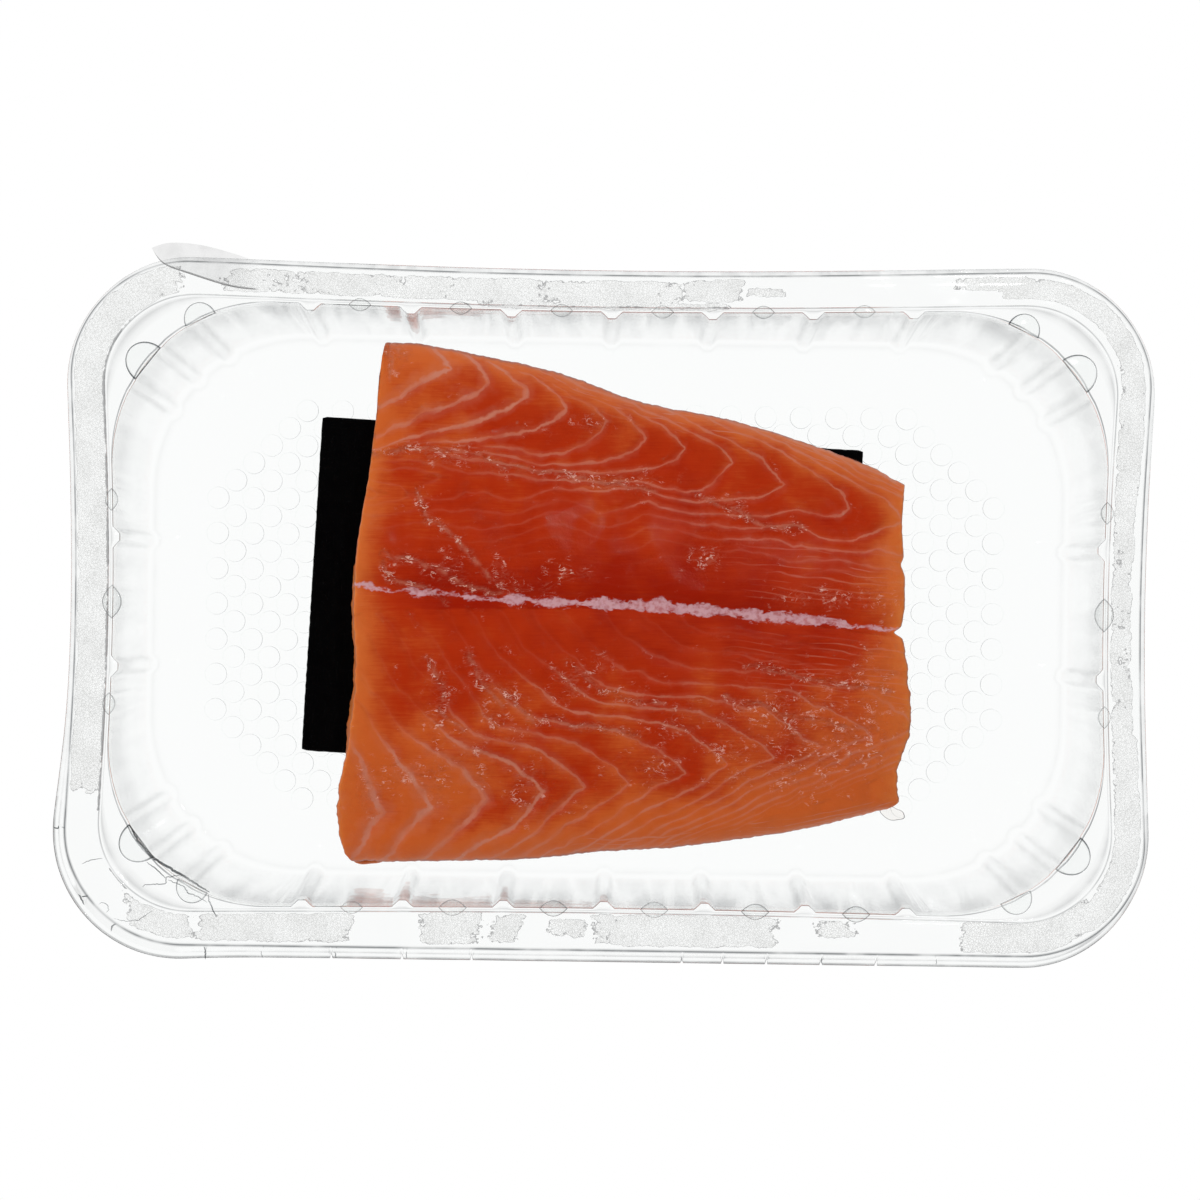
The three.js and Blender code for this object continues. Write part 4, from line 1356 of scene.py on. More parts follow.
@dataclass
class Tray:
    """The clear formed tray: flange, flared skirt, step, ribbed walls and flat base."""

    half_length: float = 134.2
    half_width: float = 84.8
    height: float = 40.0
    sheet: float = 0.8
    flange_radius: float = 30.0
    ledge_radius: float = 23.0
    wall_radius: float = 38.0
    crescent_radius: float = 41.5
    foot_radius: float = 40.0
    flange_width: float = 8.4
    step_drop: float = 0.9
    draft: float = 5.5
    skirt_drop: float = 3.8
    skirt_flare: float = 1.5
    skirt_flare_back: float = 1.3
    skirt_flare_front: float = 3.2
    bow_ends: float = 2.2
    bow_back: float = 2.2
    bow_front: float = 1.2
    rib_pitch: float = 25.0
    rib_short: float = 16.1
    rib_depth: float = 1.7
    rib_rise: float = 1.1
    rib_run_out: float = 8.3
    corner_turn: float = 14.5
    oval_half_length: float = 2.8
    oval_half_width: float = 1.6
    oval_short: float = 25.3
    straight_x: float = 77.6
    straight_y: float = 18.7
    cracks: list = field(default_factory=lambda: [
        -100.2, -86.0, -67.6, -50.0, -32.7, 19.6, 29.7, 40.6, 54.2, 67.9, 82.7])
    dimple_pitch: float = 4.59
    dimple_radius: float = 2.95
    dimple_sides: int = 24
    patches: list = field(default_factory=lambda: [
        SealPatch(Side.LEFT, -46, 60, 0.8, 7.9, 1.0), SealPatch(Side.BACK, -97, 18, 1.4, 7.2, 0.72),
        SealPatch(Side.BACK, -34, 28, 7.0, 8.8, 0.8), SealPatch(Side.BACK, -3, 12, 2.0, 8.4, 0.9),
        SealPatch(Side.BACK, 18, 32, 1.0, 6.6, 0.9), SealPatch(Side.BACK, 33, 44, 3.0, 5.4, 0.7),
        SealPatch(Side.BACK, 86, 106, 1.2, 4.4, 1.0), SealPatch(Side.BACK_RIGHT, -9, 9, 1.4, 6.4, 0.85),
        SealPatch(Side.FRONT_RIGHT, -9, 9, 1.2, 6.8, 0.85),
        SealPatch(Side.BACK_LEFT, -140, -107, 0.8, 7.9, 0.9),
        SealPatch(Side.RIGHT, -68, 62, 2.2, 7.6, 0.66), SealPatch(Side.FRONT, -118, -102, 1.5, 7.5, 0.8),
        SealPatch(Side.FRONT, -100, -62, 1.2, 7.8, 0.86), SealPatch(Side.FRONT, -45, -31, 1.0, 8.2, 1.0),
        SealPatch(Side.FRONT, -28, -21, 1.6, 8.0, 0.9), SealPatch(Side.FRONT, -14, -4, 2.6, 6.8, 0.8),
        SealPatch(Side.FRONT, -3, 43, 1.2, 8.0, 0.9), SealPatch(Side.FRONT, 52, 63, 3.6, 7.8, 0.85),
        SealPatch(Side.FRONT, 89, 118, 1.0, 8.2, 1.0)])

    def levels(self) -> np.ndarray:
        """The upper face's profile from the skirt's lip to the base: a row of Level's columns per bend."""
        ledge = self.height - self.step_drop
        top = self.flange_width + 0.9
        foot = top + 0.9 + self.draft
        b = self.bow_front
        return np.array([
            [0, self.flange_radius + self.skirt_flare, self.height - self.skirt_drop, 0, 0, 0, 1],
            [0, self.flange_radius, self.height, 0, 0, 0, 0],
            [self.flange_width, self.ledge_radius, self.height, 0, 0, b, 0],
            [self.flange_width + 0.4, self.ledge_radius, ledge, 0, 0, b, 0],
            [top, self.wall_radius, ledge, 1, 0, b, 0],
            [top + 0.9, self.wall_radius, ledge - 1.1, 1, 0, b, 0],
            [foot - 1.3, self.foot_radius, self.sheet + 1.8, 1, 0, b, 0],
            [foot, self.foot_radius, self.sheet, 1, 0.7, b, 0],
            [foot + 0.5 * self.rib_run_out, self.foot_radius - 4, self.sheet, 0, 1, b, 0],
            [foot + self.rib_run_out, self.foot_radius - 8, self.sheet, 0, 0, b, 0],
        ], dtype=float)

    def under(self, levels: np.ndarray) -> np.ndarray:
        """The lower face's profile: each bend moved square to the sheet by its thickness.

        Args:
            levels: the upper face's levels.

        Returns:
            The lower face's levels.
        """
        at = np.column_stack([levels[:, 0] - levels[:, Level.LIP] * self.skirt_flare, levels[:, 2]])
        on = np.vstack([at, [self.half_width, self.sheet]])
        step = np.diff(on, axis=0)
        normal = np.column_stack([step[:, 1], -step[:, 0]])
        normal /= np.linalg.norm(normal, axis=1)[:, None]
        before = np.vstack([normal[:1], normal[:-1]])
        miter = normal + before
        miter /= np.linalg.norm(miter, axis=1)[:, None]
        shift = miter * (self.sheet / np.maximum(0.4, (miter * normal).sum(1)))[:, None]
        lower = levels.copy()
        lower[:, Level.INSET] += shift[:, 0]
        lower[:, Level.RADIUS] -= shift[:, 0]
        lower[:, Level.HEIGHT] += shift[:, 1]
        return lower

    @staticmethod
    def rounded(levels: np.ndarray, radius: list[float], steps: list[int], bend: int,
                lines: list[float]) -> tuple[np.ndarray, np.ndarray]:
        """Rounds the profile's bends and divides its straights.

        Args:
            levels: the bends.
            radius: rounding length at each bend, in mm, 0 at the ends.
            steps: number of parts of each straight.
            bend: number of parts of each bend.
            lines: how dark the painted line of shade along each bend is, 0 to 1.

        Returns:
            The fine levels, and each level's share of a painted dark line of shade: the bend's own at its
            middle, fading with the cube of a sine to 0 at its ends.
        """
        rows, sharp = [levels[0]], [lines[0]]
        for i in range(1, len(levels)):
            a, b = levels[i - 1], levels[i]
            span = math.hypot(b[0] - a[0] + 1e-9, b[2] - a[2])
            cut_a = min(radius[i - 1] / span, 0.46)
            cut_b = min(radius[i] / span, 0.46)
            for k in range(1, steps[i - 1] + 1):
                t = cut_a + (1 - cut_a - cut_b) * k / steps[i - 1]
                rows.append(a + (b - a) * t)
                sharp.append(0.0)
            if i + 1 < len(levels):
                c = levels[i + 1]
                onward = math.hypot(c[0] - b[0] + 1e-9, c[2] - b[2])
                start, end = b + (a - b) * cut_b, b + (c - b) * min(radius[i] / onward, 0.46)
                for k in range(1, bend + 1):
                    t = k / bend
                    rows.append((1 - t) ** 2 * start + 2 * t * (1 - t) * b + t * t * end)
                    sharp.append(lines[i] * math.sin(math.pi * min(t, 0.999)) ** 3)
        return np.array(rows), np.array(sharp)

    def stations(self) -> list[dict[str, np.ndarray]]:
        """Places once round the tray, counter-clockwise from above, in eight runs.

        Returns:
            For each run its side and, per place, where it lies, what share of a rib shows there, and
            how deep a crack in the skirt is.
        """
        ribs = np.arange(-3, 4) * self.rib_pitch
        long_at = np.linspace(-self.straight_x, self.straight_x, 175)
        split = np.array(self.cracks)
        split = split[np.abs(split) < self.straight_x]
        notches = (split[:, None] + np.array([-0.35, 0.0, 0.3])[None, :]).reshape(-1)
        keep = np.abs(long_at[:, None] - split[None, :]).min(1) > 0.7
        front_at = np.sort(np.concatenate([long_at[keep], notches]))
        short_at = np.linspace(-self.straight_y, self.straight_y, 43)
        join = np.linspace(0, 1, 22)[1:]

        def side(at: np.ndarray, centres: np.ndarray, end: float) -> dict[str, np.ndarray]:
            """A wall: its straight part, and a join at each end up to the corner's start."""
            places = np.concatenate([-end - 0 * join[::-1], at, end + 0 * join])
            reach = np.concatenate([-join[::-1], 0 * at, join])
            rib = smoothstep(2.7, 0.8, np.abs(at[:, None] - centres[None, :]).min(1))
            share = np.concatenate([0 * join, rib, 0 * join])
            crack = (np.abs(places[:, None] - split[None, :]).min(1) < 0.02) & (reach == 0)
            return {"at": places, "reach": reach, "rib": share, "crack": crack.astype(float)}

        turn = np.linspace(0, 90, 62)[1:-1]
        centres = 45 + np.array([-1, 0, 1]) * self.corner_turn
        away = np.abs(turn[:, None] - centres[None, :]).min(1) * math.radians(1) * self.wall_radius
        corner = {"turn": turn, "rib": smoothstep(2.7, 0.8, away)}
        front = side(front_at, ribs, self.straight_x)
        back = side(long_at, ribs, self.straight_x)
        back["crack"] = 0 * back["crack"]
        short = side(short_at, np.array([-self.rib_short, self.rib_short]), self.straight_y)
        short["crack"] = 0 * short["crack"]
        return [{"side": Side.FRONT, **front}, {"side": Side.FRONT_RIGHT, **corner},
                {"side": Side.RIGHT, **short}, {"side": Side.BACK_RIGHT, **corner},
                {"side": Side.BACK, **back}, {"side": Side.BACK_LEFT, **corner},
                {"side": Side.LEFT, **short}, {"side": Side.FRONT_LEFT, **corner}]

    def run(self, levels: np.ndarray, run: dict) -> np.ndarray:
        """Points of one run on every level.

        Args:
            levels: the fine levels.
            run: the run's places.

        Returns:
            An array by level and place of x, y, z. Outline first, then skirt, ribs and bow: the bow
            fades with a power of the distance from the middle of its side.
        """
        col = levels[:, :, None]
        lip, radius, height = col[:, Level.LIP], col[:, Level.RADIUS], col[:, Level.HEIGHT]
        half_l = self.half_length - col[:, Level.INSET] + lip * self.skirt_flare
        half_w = self.half_width - col[:, Level.INSET]
        side = run["side"]
        if side in CORNERS:
            turn = np.radians(run["turn"])
            sx, sy = CORNERS[side]
            order = slice(None, None, -1) if sx * sy < 0 else slice(None)
            turn, rib = turn[order], run["rib"][order]
            rib = rib * (1 - 0.9 * smoothstep(18.0, 36.0, height))
            ox, oy = sx * np.cos(turn)[None, :], sy * np.sin(turn)[None, :]
            x = sx * (half_l - radius) + radius * ox
            y = sy * (half_w - radius) + radius * oy
            crack = np.zeros_like(turn)
        elif side in (Side.FRONT, Side.BACK):
            sign = -1.0 if side is Side.FRONT else 1.0
            order = slice(None) if sign < 0 else slice(None, None, -1)
            at, reach, rib, crack = (run[k][order] for k in ("at", "reach", "rib", "crack"))
            x = at[None, :] + reach[None, :] * (half_l - radius - self.straight_x)
            y = sign * half_w + 0 * x
            ox, oy, rib = 0 * x, sign + 0 * x, rib[None, :]
        else:
            sign = -1.0 if side is Side.LEFT else 1.0
            order = slice(None) if sign > 0 else slice(None, None, -1)
            at, reach, rib, crack = (run[k][order] for k in ("at", "reach", "rib", "crack"))
            y = at[None, :] + reach[None, :] * (half_w - radius - self.straight_y)
            x = sign * half_l + 0 * y
            ox, oy, rib = sign + 0 * y, 0 * y, rib[None, :]
        z = height + self.rib_rise * col[:, Level.RIB_UP] * rib
        z = z + 2.6 * lip * crack[None, :]
        flare = np.where(y < 0, -self.skirt_flare_front, self.skirt_flare_back) * np.abs(oy) * lip
        flare = flare * (1 - 0.55 * crack[None, :])
        splay = 2.6 * lip * np.exp(-(((x + 128) / 24) ** 2) - ((y + 66) / 28) ** 2)
        inward = self.rib_depth * col[:, Level.RIB_IN] * rib - splay
        lean = height / self.height
        mid_y = np.maximum(0, 1 - (y / 64.0) ** 2) ** 1.4
        mid_x = np.maximum(0, 1 - (x / 110.0) ** 2) ** 1.4
        bow = np.where(y > 0, self.bow_back, -col[:, Level.FRONT_BOW])
        px = x - ox * inward - self.bow_ends * lean * mid_y * (x / self.half_length)
        py = y + flare - oy * inward - bow * lean * mid_x * (np.abs(y) / self.half_width)
        return np.stack([px, py, z + 0 * px], -1)

    def surface(self, levels: np.ndarray) -> np.ndarray:
        """All runs joined: an array by level and place of x, y, z."""
        return np.concatenate([self.run(levels, run) for run in self.stations()], axis=1)

    def flanks(self) -> np.ndarray:
        """How much of a rib's flank lies at each place round the tray: four times share by its rest."""
        shares = []
        for run in self.stations():
            shares.append(run["rib"][::-1] if run["side"] in TURNED else run["rib"])
        share = np.concatenate(shares)
        return 4 * share * (1 - share)

    def seal_marks(self, x: np.ndarray, y: np.ndarray, inset: np.ndarray) -> np.ndarray:
        """How much of the lid's seal is left at each place of the flange, 0 to 1.

        Args:
            x: places along X.
            y: places along Y.
            inset: distance in from the flange's edge.

        Returns:
            The largest share of any patch: each fades at its ends and across the flange.
        """
        places = {
            Side.FRONT: (y < -60, x), Side.BACK: (y > 60, x), Side.LEFT: (x < -100, y),
            Side.RIGHT: (x > 110, y),
            Side.FRONT_RIGHT: ((x > 96) & (y < -30), 0 * x), Side.BACK_RIGHT: ((x > 96) & (y > 30), 0 * x),
            Side.BACK_LEFT: ((x < -90) & (y > 30), x)}
        best = np.zeros_like(x)
        for patch in self.patches:
            on, along = places[patch.side]
            end = smoothstep(patch.low - 5, patch.low + 5, along)
            end = end * smoothstep(patch.high + 5, patch.high - 5, along)
            band = smoothstep(patch.near - 0.8, patch.near + 0.8, inset)
            band = band * smoothstep(patch.far + 0.5, patch.far - 0.5, inset)
            best = np.maximum(best, patch.share * end * band * on)
        return best

    def shell(self, material: bpy.types.Material, sealed: bpy.types.Material) -> None:
        """Makes the tray's sheet from its lower and upper faces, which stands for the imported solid.

        Args:
            material: the clear finish.
            sealed: the clear finish with seal marks, for the flange's upper face.
        """
        upper = self.levels()
        upper[4:6, Level.RADIUS] = self.crescent_radius
        lower = self.under(upper)
        brink = upper[3] + (upper[4] - upper[3]) * 0.92
        upper = np.insert(upper, 4, brink, axis=0)
        round_up = [0, 0.6, 0.35, 0.3, 0.0, 0.35, 0.3, 2.0, 2.4, 3.0, 0]
        round_down = [0, 0.7, 0.7, 0.5, 0.4, 0.6, 1.6, 3.0, 3.0, 0]
        # How dark the painted line of shade along each bend of the upper face is.
        lines = [0.75, 0.95, 0.62, 0.3, 0.0, 0.95, 0.05, 0.0, 0.06, 0.0, 0.0]
        fine, sharp = self.rounded(upper, round_up, [4, 13, 1, 3, 1, 2, 6, 1, 2, 3], 4, lines)
        below, blunt = self.rounded(lower, round_down, [3, 3, 1, 1, 1, 5, 1, 2, 2], 2, [0.0] * len(lower))
        top, under = self.surface(fine), self.surface(below)
        count = top.shape[1]
        uneven = Ripple(31, 26.0)
        for part in (top, under):
            flat = smoothstep(5, 30, part[..., 2])
            part[..., 2] += 0.12 * uneven.at(part[..., 0], part[..., 1]) * flat
        rings = np.concatenate([under[::-1], top])
        cloud, faces = capped(rings, [0, 0, 0], [0, 0, self.sheet])
        inset = np.concatenate([np.full(under.shape[:2], -5.0), np.repeat(fine[:, :1], count, 1)])
        flat = inset.reshape(-1)
        seal = self.seal_marks(cloud[:-2, 0], cloud[:-2, 1], flat) * (flat > 0.2) * (flat < 9.5)
        edge = np.concatenate([np.repeat(blunt[::-1, None], count, 1), np.repeat(sharp[:, None], count, 1)])
        flank = self.flanks()
        # Painted shade lines on the flanks of the ribs up the walls; the lip's line is lighter except along
        # the front.
        tall = smoothstep(3, 9, top[..., 2]) * smoothstep(39.0, 38.0, top[..., 2]) * (fine[:, :1] > 9)
        edge[len(under):] = np.maximum(edge[len(under):], 0.17 * tall * flank[None, :])
        edge[len(under)] *= np.where(top[0, :, 1] < -50, 1.0, 0.22)
        back = (cloud[:-2, 1] > 0) & (np.abs(cloud[:-2, 0] + 4) < 33)
        side = (cloud[:-2, 0] < -90) & (np.abs(cloud[:-2, 1]) < 71)
        torn = np.exp(-(((flat - 8.1) / 0.5) ** 2)) * (side + 0.8 * back)
        reach = np.append(0, np.cumsum(np.linalg.norm(np.diff(top[6, :, :2], axis=0), axis=1)))
        around = np.tile(reach, len(rings))
        marks = {"seal": np.append(seal, [0, 0]), "torn": np.append(torn, [0, 0]),
                 "around": np.append(around, [0, 0]), "edge": np.append(edge.reshape(-1), [0, 0])}
        seals = np.append(seal, [0, 0]) > 0
        near_seal = np.concatenate([seals[f].any(1) for f in faces])
        piece = make_piece("tray_sheet", cloud, faces, material, Slot.TRAY, marks, (sealed, near_seal))
        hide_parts("tray")

    def lens(self, at: np.ndarray, turn: float, size: float) -> tuple:
        """A pointed oval lug: two shallow arcs that meet at its ends, with a rounded rim.

        Args:
            at: its middle, x and y.
            turn: degrees about Z.
            size: factor on its size.

        Returns:
            Points, faces and the darkness of the painted shade lines of a closed lens: rings scaled in
            towards the middle as it rises.
        """
        t = np.linspace(0, 2 * np.pi, 32, endpoint=False)
        x = self.oval_half_length * size * np.cos(t)
        y = self.oval_half_width * size * np.sin(t) * np.abs(np.sin(t))
        # The third number of each level: darkness of the painted shade line along that ring.
        levels = [(0.90, -0.75, 0.0), (1.0, -0.35, 0.1), (1.0, 0.05, 0.7), (0.95, 0.2, 0.6), (0.88, 0.3, 0.1),
                  (0.6, 0.38, 0.0)]
        return self.stacked(x, y, levels, at, turn, self.height)

    def lug(self, at: np.ndarray, turn: float, half_chord: float, depth: float) -> tuple:
        """A D-shaped corner lug: a straight side and half an ellipse beyond it.

        Args:
            at: middle of its straight side, x and y.
            turn: degrees about Z of its outward direction.
            half_chord: half of the straight side.
            depth: how far it reaches out.

        Returns:
            Points, faces and the darkness of the painted shade lines.
        """
        t = np.linspace(0, np.pi, 25)
        straight = np.linspace(-1, 1, 12)[1:-1]
        x = np.concatenate([half_chord * np.cos(t), half_chord * straight])
        y = np.concatenate([depth * np.sin(t), 0 * straight])
        # The third number of each level: darkness of the painted shade line along that ring.
        levels = [(0.96, -0.7, 0.0), (1.0, -0.4, 0.2), (1.0, 0.1, 0.95), (0.94, 0.3, 0.95), (0.90, 0.45, 0.1),
                  (0.82, 0.5, 0.0)]
        return self.stacked(x, y - 0.4 * depth, levels, at, turn, self.height - self.step_drop, 0.4 * depth)

    @staticmethod
    def stacked(x: np.ndarray, y: np.ndarray, levels: list[tuple[float, float, float]], at: np.ndarray,
                turn: float, base: float, shift: float = 0.0) -> tuple:
        """A closed shape from one outline, scaled for each level.

        Args:
            x: outline along X.
            y: outline along Y.
            levels: scale and height of each ring, and how dark the painted shade line along it is.
            at: place of its middle.
            turn: degrees about Z.
            base: height that the levels are measured from.
            shift: move along Y after scaling.

        Returns:
            Points, faces and the darkness of the painted shade lines at each point.
        """
        rings = []
        for scale, height, _ in levels:
            u, v = turned(x * scale, y * scale + shift, turn)
            rings.append(np.column_stack([at[0] + u, at[1] + v, np.full_like(u, base + height)]))
        middle = at + np.array(turned(0.0, shift, turn))
        cloud, faces = capped(rings, [*middle, base + levels[0][1]], [*middle, base + levels[-1][1]])
        dark = np.append(np.repeat([level[2] for level in levels], len(x)), [0.0, 0.0])
        return cloud, faces, dark

    def lugs(self, material: bpy.types.Material) -> None:
        """Makes the lugs that keep stacked trays apart, as one piece.

        Args:
            material: the clear finish.
        """
        wall = self.levels()[4:5]
        parts = []
        for long_wall, short_wall in ((Side.FRONT, Side.LEFT), (Side.BACK, Side.RIGHT)):
            for k in range(6):
                size = 1.25 if long_wall is Side.FRONT and k > 0 else 1.0
                parts.append(self.lens(self.on_wall(wall, (k - 2.5) * self.rib_pitch, long_wall), 0.0, size))
            for at in (-self.oval_short, 0.0, self.oval_short):
                size = 1.5 if at == 0 else 1.0
                parts.append(self.lens(self.on_wall(wall, at, short_wall), 90.0, size))
        radius = self.wall_radius
        centre = np.array([self.half_length - wall[0, 0] - radius, self.half_width - wall[0, 0] - radius])
        for turn, chord_at, half_chord, depth in ((37.7, 35.4, 5.1, 5.9), (65.2, 36.0, 4.1, 4.4)):
            for sx, sy in ((1, 1), (-1, 1), (-1, -1), (1, -1)):
                out = np.array([sx * math.cos(math.radians(turn)), sy * math.sin(math.radians(turn))])
                at = centre * [sx, sy] + out * chord_at
                aim = math.degrees(math.atan2(out[1], out[0])) - 90
                parts.append(self.lug(at, aim, half_chord, depth))
        self.joined("tray_lugs", parts, material)

    def on_wall(self, wall: np.ndarray, at: float, side: Side) -> np.ndarray:
        """Place on the wall's top edge, with the side's bow.

        Args:
            wall: the level of the wall's top.
            at: distance along the wall from its middle.
            side: which wall.

        Returns:
            X and Y.
        """
        run = {"side": side, "at": np.array([at]), "reach": np.zeros(1), "rib": np.zeros(1),
               "crack": np.zeros(1)}
        return self.run(wall, run)[0, 0, :2]

    @staticmethod
    def joined(name: str, parts: list[tuple], material: bpy.types.Material) -> None:
        """Makes one piece from several closed shapes.

        Args:
            name: the piece's name.
            parts: points, faces and darkness of each shape.
            material: its finish.
        """
        clouds, faces, dark, first = [], [], [], 0
        for cloud, part, lines in parts:
            clouds.append(cloud)
            dark.append(lines)
            faces.extend(f + first for f in part)
            first += len(cloud)
        marks = {"edge": np.concatenate(dark)}
        make_piece(name, np.concatenate(clouds), faces, material, Slot.TRAY, marks)

    def dimples(self, material: bpy.types.Material) -> None:
        """Makes the base's embossed circles: a square grid turned 45 degrees, cut off at its corners.

        Args:
            material: the clear finish.
        """
        pitch, radius, sides = self.dimple_pitch, self.dimple_radius, self.dimple_sides
        column = np.arange(-22, 23)
        row = np.arange(-12, 13)
        cx, cy = np.meshgrid(column * pitch - 0.8, row * pitch - 0.2)
        checker = (column[None, :] + row[:, None]) % 2 == 0
        reach = np.abs(cy) <= np.minimum(51.0, 32.8 + (102.0 - np.abs(cx)) * 0.82)
        at = np.column_stack([cx[checker & reach], cy[checker & reach]])
        t = np.linspace(0, 2 * np.pi, sides, endpoint=False)
        turn = np.arctan2(-at[:, 1], -at[:, 0])[:, None]
        lifted = 0.35 + 0.65 * np.clip(np.cos(t[None, :] - turn), -0.2, 1)
        # Painted shade: a dark arc on each circle's rim, strongest on the side towards the tray's middle.
        drawn = np.clip(np.cos(t[None, :] - turn) * 0.6 + 0.35, 0, 1) * 0.5
        rings, dark = [], []
        for share, height, line in ((1.0, 0.0, 0.1), (0.965, 0.09, 1.0), (0.93, 0.0, 0.1)):
            x = at[:, :1] + share * radius * np.cos(t)[None, :]
            y = at[:, 1:] + share * radius * np.sin(t)[None, :]
            rings.append(np.stack([x, y, self.sheet + 0.01 + height * lifted], -1))
            dark.append(line * drawn)
        tall, edge = np.concatenate(rings, 1), np.concatenate(dark, 1)
        quads = ring_faces(3, sides)
        under = np.stack([quads[:sides, 1], quads[:sides, 0], quads[sides:, 3], quads[sides:, 2]], -1)
        first = (np.arange(len(at)) * tall.shape[1])[:, None, None]
        tube = np.concatenate([quads, under])
        make_piece("base_dimples", tall.reshape(-1, 3), [(tube[None] + first).reshape(-1, 4)],
                   material, Slot.TRAY, {"edge": edge})
        LOG.info("dimples: %d", len(at))


@dataclass
class Cracks:
    """Splits in the sheet at the front left corner and along the front skirt, as thin dark slits."""

    height: float = 0.12
    lines: list = field(default_factory=lambda: [
        (39.25, 39.25, 0.60, [(-117.9, -55.3), (-115.5, -59.4), (-112.3, -63.1), (-108.7, -65.3),
                              (-104.9, -67.5),
                              (-101.7, -69.4), (-97.8, -71.7)]),
        (39.2, 39.2, 0.24, [(-114.4, -70.7), (-113.8, -70.0), (-108.7, -69.8), (-108.6, -68.2),
                            (-105.2, -67.6)]),
        (39.2, 39.2, 0.22, [(-113.5, -64.4), (-111.3, -66.0), (-108.6, -68.5)]),
        (39.2, 39.2, 0.26, [(-108.1, -68.8), (-104.2, -70.3), (-103.1, -72.0), (-100.1, -73.1),
                            (-98.4, -74.3)]),
        (39.2, 40.05, 0.30, [(-98.2, -72.2), (-97.8, -74.1), (-97.0, -75.6), (-96.0, -77.4)]),
        (37.0, 40.0, 0.32, [(-137.0, -56.2), (-135.8, -56.6), (-135.3, -55.7)]),
        (40.0, 37.0, 0.34, [(-130.2, -72.6), (-129.5, -74.2), (-129.2, -75.5)]),
        (40.1, 40.1, 0.28, [(-129.4, -73.2), (-127.8, -72.9)]),
        (37.0, 40.0, 0.40, [(-122.4, -82.0), (-121.9, -80.4), (-120.7, -79.8)]),
        (40.0, 37.0, 0.40, [(-98.9, -85.1), (-98.6, -86.8), (-98.9, -88.6)]),
        (39.8, 37.5, 0.20, [(-84.8, -86.0), (-84.6, -88.0)]),
        (39.8, 37.5, 0.20, [(-66.5, -85.9), (-66.3, -87.8)]),
        (39.8, 37.5, 0.20, [(-48.8, -85.7), (-48.8, -87.6)]),
        (39.8, 37.5, 0.18, [(19.4, -85.9), (19.6, -87.6)]),
        (39.8, 37.5, 0.18, [(54.1, -85.9), (54.3, -87.5)]),
        (39.8, 37.5, 0.18, [(82.6, -85.8), (82.8, -87.4)]),
        (40.1, 40.1, 0.16, [(-129.4, -65.0), (-127.2, -64.0), (-124.3, -63.7)]),
        (40.1, 40.1, 0.20, [(-125.1, -75.1), (-124.2, -74.4), (-122.9, -75.1), (-122.6, -76.3),
                            (-123.2, -77.0)]),
        (40.1, 40.1, 0.14, [(-121.3, -78.5), (-118.1, -79.1), (-115.2, -78.8), (-111.8, -76.5)])])

    def ribbon(self, start: float, end: float, width: float, line: list, seed: int) -> tuple:
        """One slit: a thin bar along a jagged line, narrower to both ends.

        Args:
            start: height of its first point.
            end: height of its last point.
            width: its greatest width.
            line: its corners.
            seed: seed of the jags.

        Returns:
            Points, faces and darkness.
        """
        at = np.array(line)
        reach = np.append(0, np.cumsum(np.linalg.norm(np.diff(at, axis=0), axis=1)))
        share = np.linspace(0, 1, max(6, int(reach[-1] / 0.4)))
        middle = np.stack([np.interp(share * reach[-1], reach, at[:, axis]) for axis in (0, 1)], -1)
        draw = np.random.default_rng(seed)
        middle[1:-1] += draw.uniform(-0.12, 0.12, (len(share) - 2, 2))
        along = np.gradient(middle, axis=0)
        square = np.stack([-along[:, 1], along[:, 0]], -1) / np.linalg.norm(along, axis=1)[:, None]
        half = (0.5 * width * (0.25 + 0.75 * np.sin(np.pi * share) ** 0.5))[:, None]
        z = (start + (end - start) * share)[:, None]
        left, right = middle + square * half, middle - square * half
        rings = [np.hstack([left, z]), np.hstack([left, z + self.height]),
                 np.hstack([right, z + self.height]),
                 np.hstack([right, z])]
        cloud = np.stack(rings, 1).reshape(-1, 3)
        last = len(cloud) - 4
        faces = [ring_faces(len(share), 4), np.array([[3, 2, 1, 0], [last, last + 1, last + 2, last + 3]])]
        return cloud, faces, np.full(len(cloud), 0.72)

    def build(self, material: bpy.types.Material) -> None:
        """Makes all slits as one piece.

        Args:
            material: the clear finish, which its darkness tints.
        """
        Tray.joined("tray_cracks", [self.ribbon(*line, 70 + i) for i, line in enumerate(self.lines)],
                    material)


# ---- the film scrap, the juice and the torn bits ----

